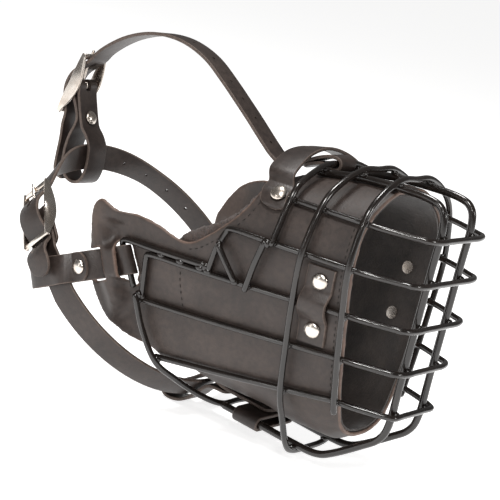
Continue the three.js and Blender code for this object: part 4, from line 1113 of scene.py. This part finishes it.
def slide_loop():
    path = [(309, 73.6), (307.6, 68), (304.6, 60), (301.2, 51.6), (297.8, 44.6), (291.4, 38.6), (287, 32),
            (285.4, 23), (285.6, 12), (289, 3.4), (296, 0.4), (304, 2.6), (309.4, 11), (310.4, 24),
            (308.4, 36), (305.8, 43.4), (304.7, 49.6), (307.2, 56.4), (311.4, 63.4), (315, 70), (315.9, 75.6),
            (314.3, 77.9), (311.4, 78.3), (309.2, 76.5)]
    centres, across, out, _ = planar(path, 170, mid_at, MID_ACROSS, closed=True)
    strap("slide_loop_leather", centres, across, out, STRAP_W + 1, replaces=["slide_loop"], closed=True,
          cuts=[fold_slot(top_at, vec(1, 0, 0))])
    out = unit(vec(0, -0.9, 0.43))
    rivet("slide_rivet_cap", vec(0, 301.2, 50.9) + out * (LEATHER / 2 + 1.4), out, 5.6,
          2 * LEATHER + 4.7, 2.3, ["slide_rivet"])


forehead_strap()
slide_loop()


# ---------- cheek bands ----------
def cheek_bands():
    x = LEG_X
    path = [(24, 98.6), (29, 98.6), (33, 98.7), (36.5, 99.2), (39.2, 102.1), (42, 104.8), (47, 105.4),
            (55, 105.2), (63, 105.2), (69, 104.7), (73, 103.2), (75.6, 100.6), (74.6, 97.5), (70, 96),
            (62, 95.9), (54, 96.1), (46, 95.9), (40, 95.6), (34, 95.3), (29, 94.9), (25.5, 93.2), (22, 90.3),
            (18, 87.6), (14, 86), (9, 85.4), (4, x + 4.3), (0, x + 4.3), (-3.1, x + 3.1), (-4.3, x),
            (-3.1, x - 3.1), (0, x - 4.3), (4, x - 3.6), (9, x - 1.2), (14, 81.9), (18, 83.6), (22, 86.3),
            (25.5, 89.2), (29, 91.6), (34, 92.1), (39, 92.3)]
    for side, name in BOTH_SIDES:
        def at(u, v):
            return vec(side * v, *cheek_place(u, 0))

        centres, _, out, line = planar(path, 200, at, vec(0, 0, 1))
        across = []
        for u, v in line:
            curl = 0.2 * smooth_step(34, 39, u) * (1 - smooth_step(44, 54, u)) if v > 97.5 else 0
            lean = LEG_SLOPE * (1 - smooth_step(4, 24, u)) - curl
            across.append(unit(vec(side * lean, SF, CF)))
        strap(f"cheek_band_leather_{name}", centres, np.array(across), out, CHEEK_W,
              replaces=[f"cheek_band_{name}"], tips=(7, 3))
        rivet(f"cheek_rivet_cap_{name}", at(31, 100.5), vec(side, 0, 0), 5.4, 3 * LEATHER + 4, 3.2,
              [f"cheek_rivet_{name}"])


cheek_bands()


# ---------- throat loop and its wrap round the long bars ----------
def throat():
    lean = math.atan(0.05)
    in_h, in_w = BAR_R + GAP + 0.1, BAR_X + BAR_R + GAP + 0.1
    h, w = in_h + LEATHER / 2, in_w + LEATHER / 2
    turn = np.radians(np.linspace(-90, 90, 14))
    right_end = [((w - h) + h * math.cos(a), h * math.sin(a)) for a in turn]
    left_end = [(-(w - h) - h * math.cos(a), -h * math.sin(a)) for a in turn]
    loop = even(np.array(right_end + left_end), 120, True)
    tang = tangents(loop, True)
    across = vec(0, math.cos(lean), math.sin(lean))
    rise = vec(0, -math.sin(lean), math.cos(lean))
    centre = vec(0, WRAP_Y, bar_bottom_z(WRAP_Y))
    centres = np.array([centre + vec(a, 0, 0) + rise * b for a, b in loop])
    out = np.array([unit(vec(ty, 0, 0) - rise * tx) for tx, ty in tang])
    strap("jaw_wrap_leather", centres, np.tile(across, (len(loop), 1)), out, 22, replaces=["jaw_wrap"],
          closed=True)
    top = bar_bottom_z(WRAP_Y) + in_h + LEATHER + GAP + LEATHER / 2
    path = [(68, top - 0.4), (77, top), (86, top + 0.5), (98, top + 1), (112, top + 2.2), (123, top + 4.6),
            (132, -100.4), (139.5, -105.5), (148, -111), (156, -116), (162, -120.5), (164.8, -124.2),
            (163, -127.4), (156.5, -128.6), (147.5, -126.6), (138.5, -120.3), (131.5, -112.4), (125, -106.8),
            (117, -105.8), (108, -106)]
    centres, across, out, _ = planar(path, 110, mid_at, MID_ACROSS)
    strap("throat_loop_leather", centres, across, out, STRAP_W, replaces=["throat_loop"], tips=(4, 4))
    rivet("throat_rivet_cap", vec(0, WRAP_Y, top - 1.5 * LEATHER - 2 * GAP - 0.2), vec(0, 0, -1), 4.6,
          2 * LEATHER + 3 * GAP + 0.6, 4.2, ["throat_rivet"])


throat()


# ---------- floor, world and lights ----------
def floor_material():
    return Look("floor", 0.9, Base_Color=(0.86, 0.86, 0.86, 1), Emission_Color=(1, 1, 1, 1),
                Emission_Strength=0.78, Specular_IOR_Level=0.0).material


FLOOR_Z = cad_box[0][2] - 0.0006  # just under the throat loop, in metres
FLOOR_REACH = 80.0
WARM = (1, 0.985, 0.97)
floor_mesh = bpy.data.meshes.new("floor")
floor_mesh.from_pydata([(x * FLOOR_REACH, y * FLOOR_REACH, FLOOR_Z)
                        for x, y in ((-1, -1), (1, -1), (1, 1), (-1, 1))], [], [(0, 1, 2, 3)])
floor_mesh.materials.append(floor_material())
floor = bpy.data.objects.new("floor", floor_mesh)
bpy.context.scene.collection.objects.link(floor)

world = bpy.data.worlds.new("world")
world.use_nodes = True
fill(world.node_tree.nodes["Background"], Color=(1.0, 0.99, 0.98, 1), Strength=0.16)
bpy.context.scene.world = world
bpy.context.scene.view_settings.view_transform = "Standard"


def area(name, place, aim, size, power):
    data = bpy.data.lights.new(name, "AREA")
    data.shape = "RECTANGLE"
    data.size, data.size_y = size
    data.energy = power
    data.color = WARM
    light = bpy.data.objects.new(name, data)
    light.location = place
    light.rotation_euler = (Vector(aim) - Vector(place)).to_track_quat("-Z", "Y").to_euler()
    bpy.context.scene.collection.objects.link(light)


area("key", (-1.1, -0.35, 1.5), (0, 0.1, 0), (0.36, 0.36), 20)
area("side", (-1.7, 0.4, 0.45), (0, 0.1, 0), (0.16, 0.5), 2.5)
area("front", (0.3, -1.6, 0.75), (0, 0.0, 0), (0.3, 0.3), 7)
area("glint", (-1.5, -0.9, 1.0), (0, 0.05, 0), (0.12, 0.12), 5)
area("top", (0.1, 0.4, 1.6), (0, 0.1, 0), (0.4, 0.4), 15)
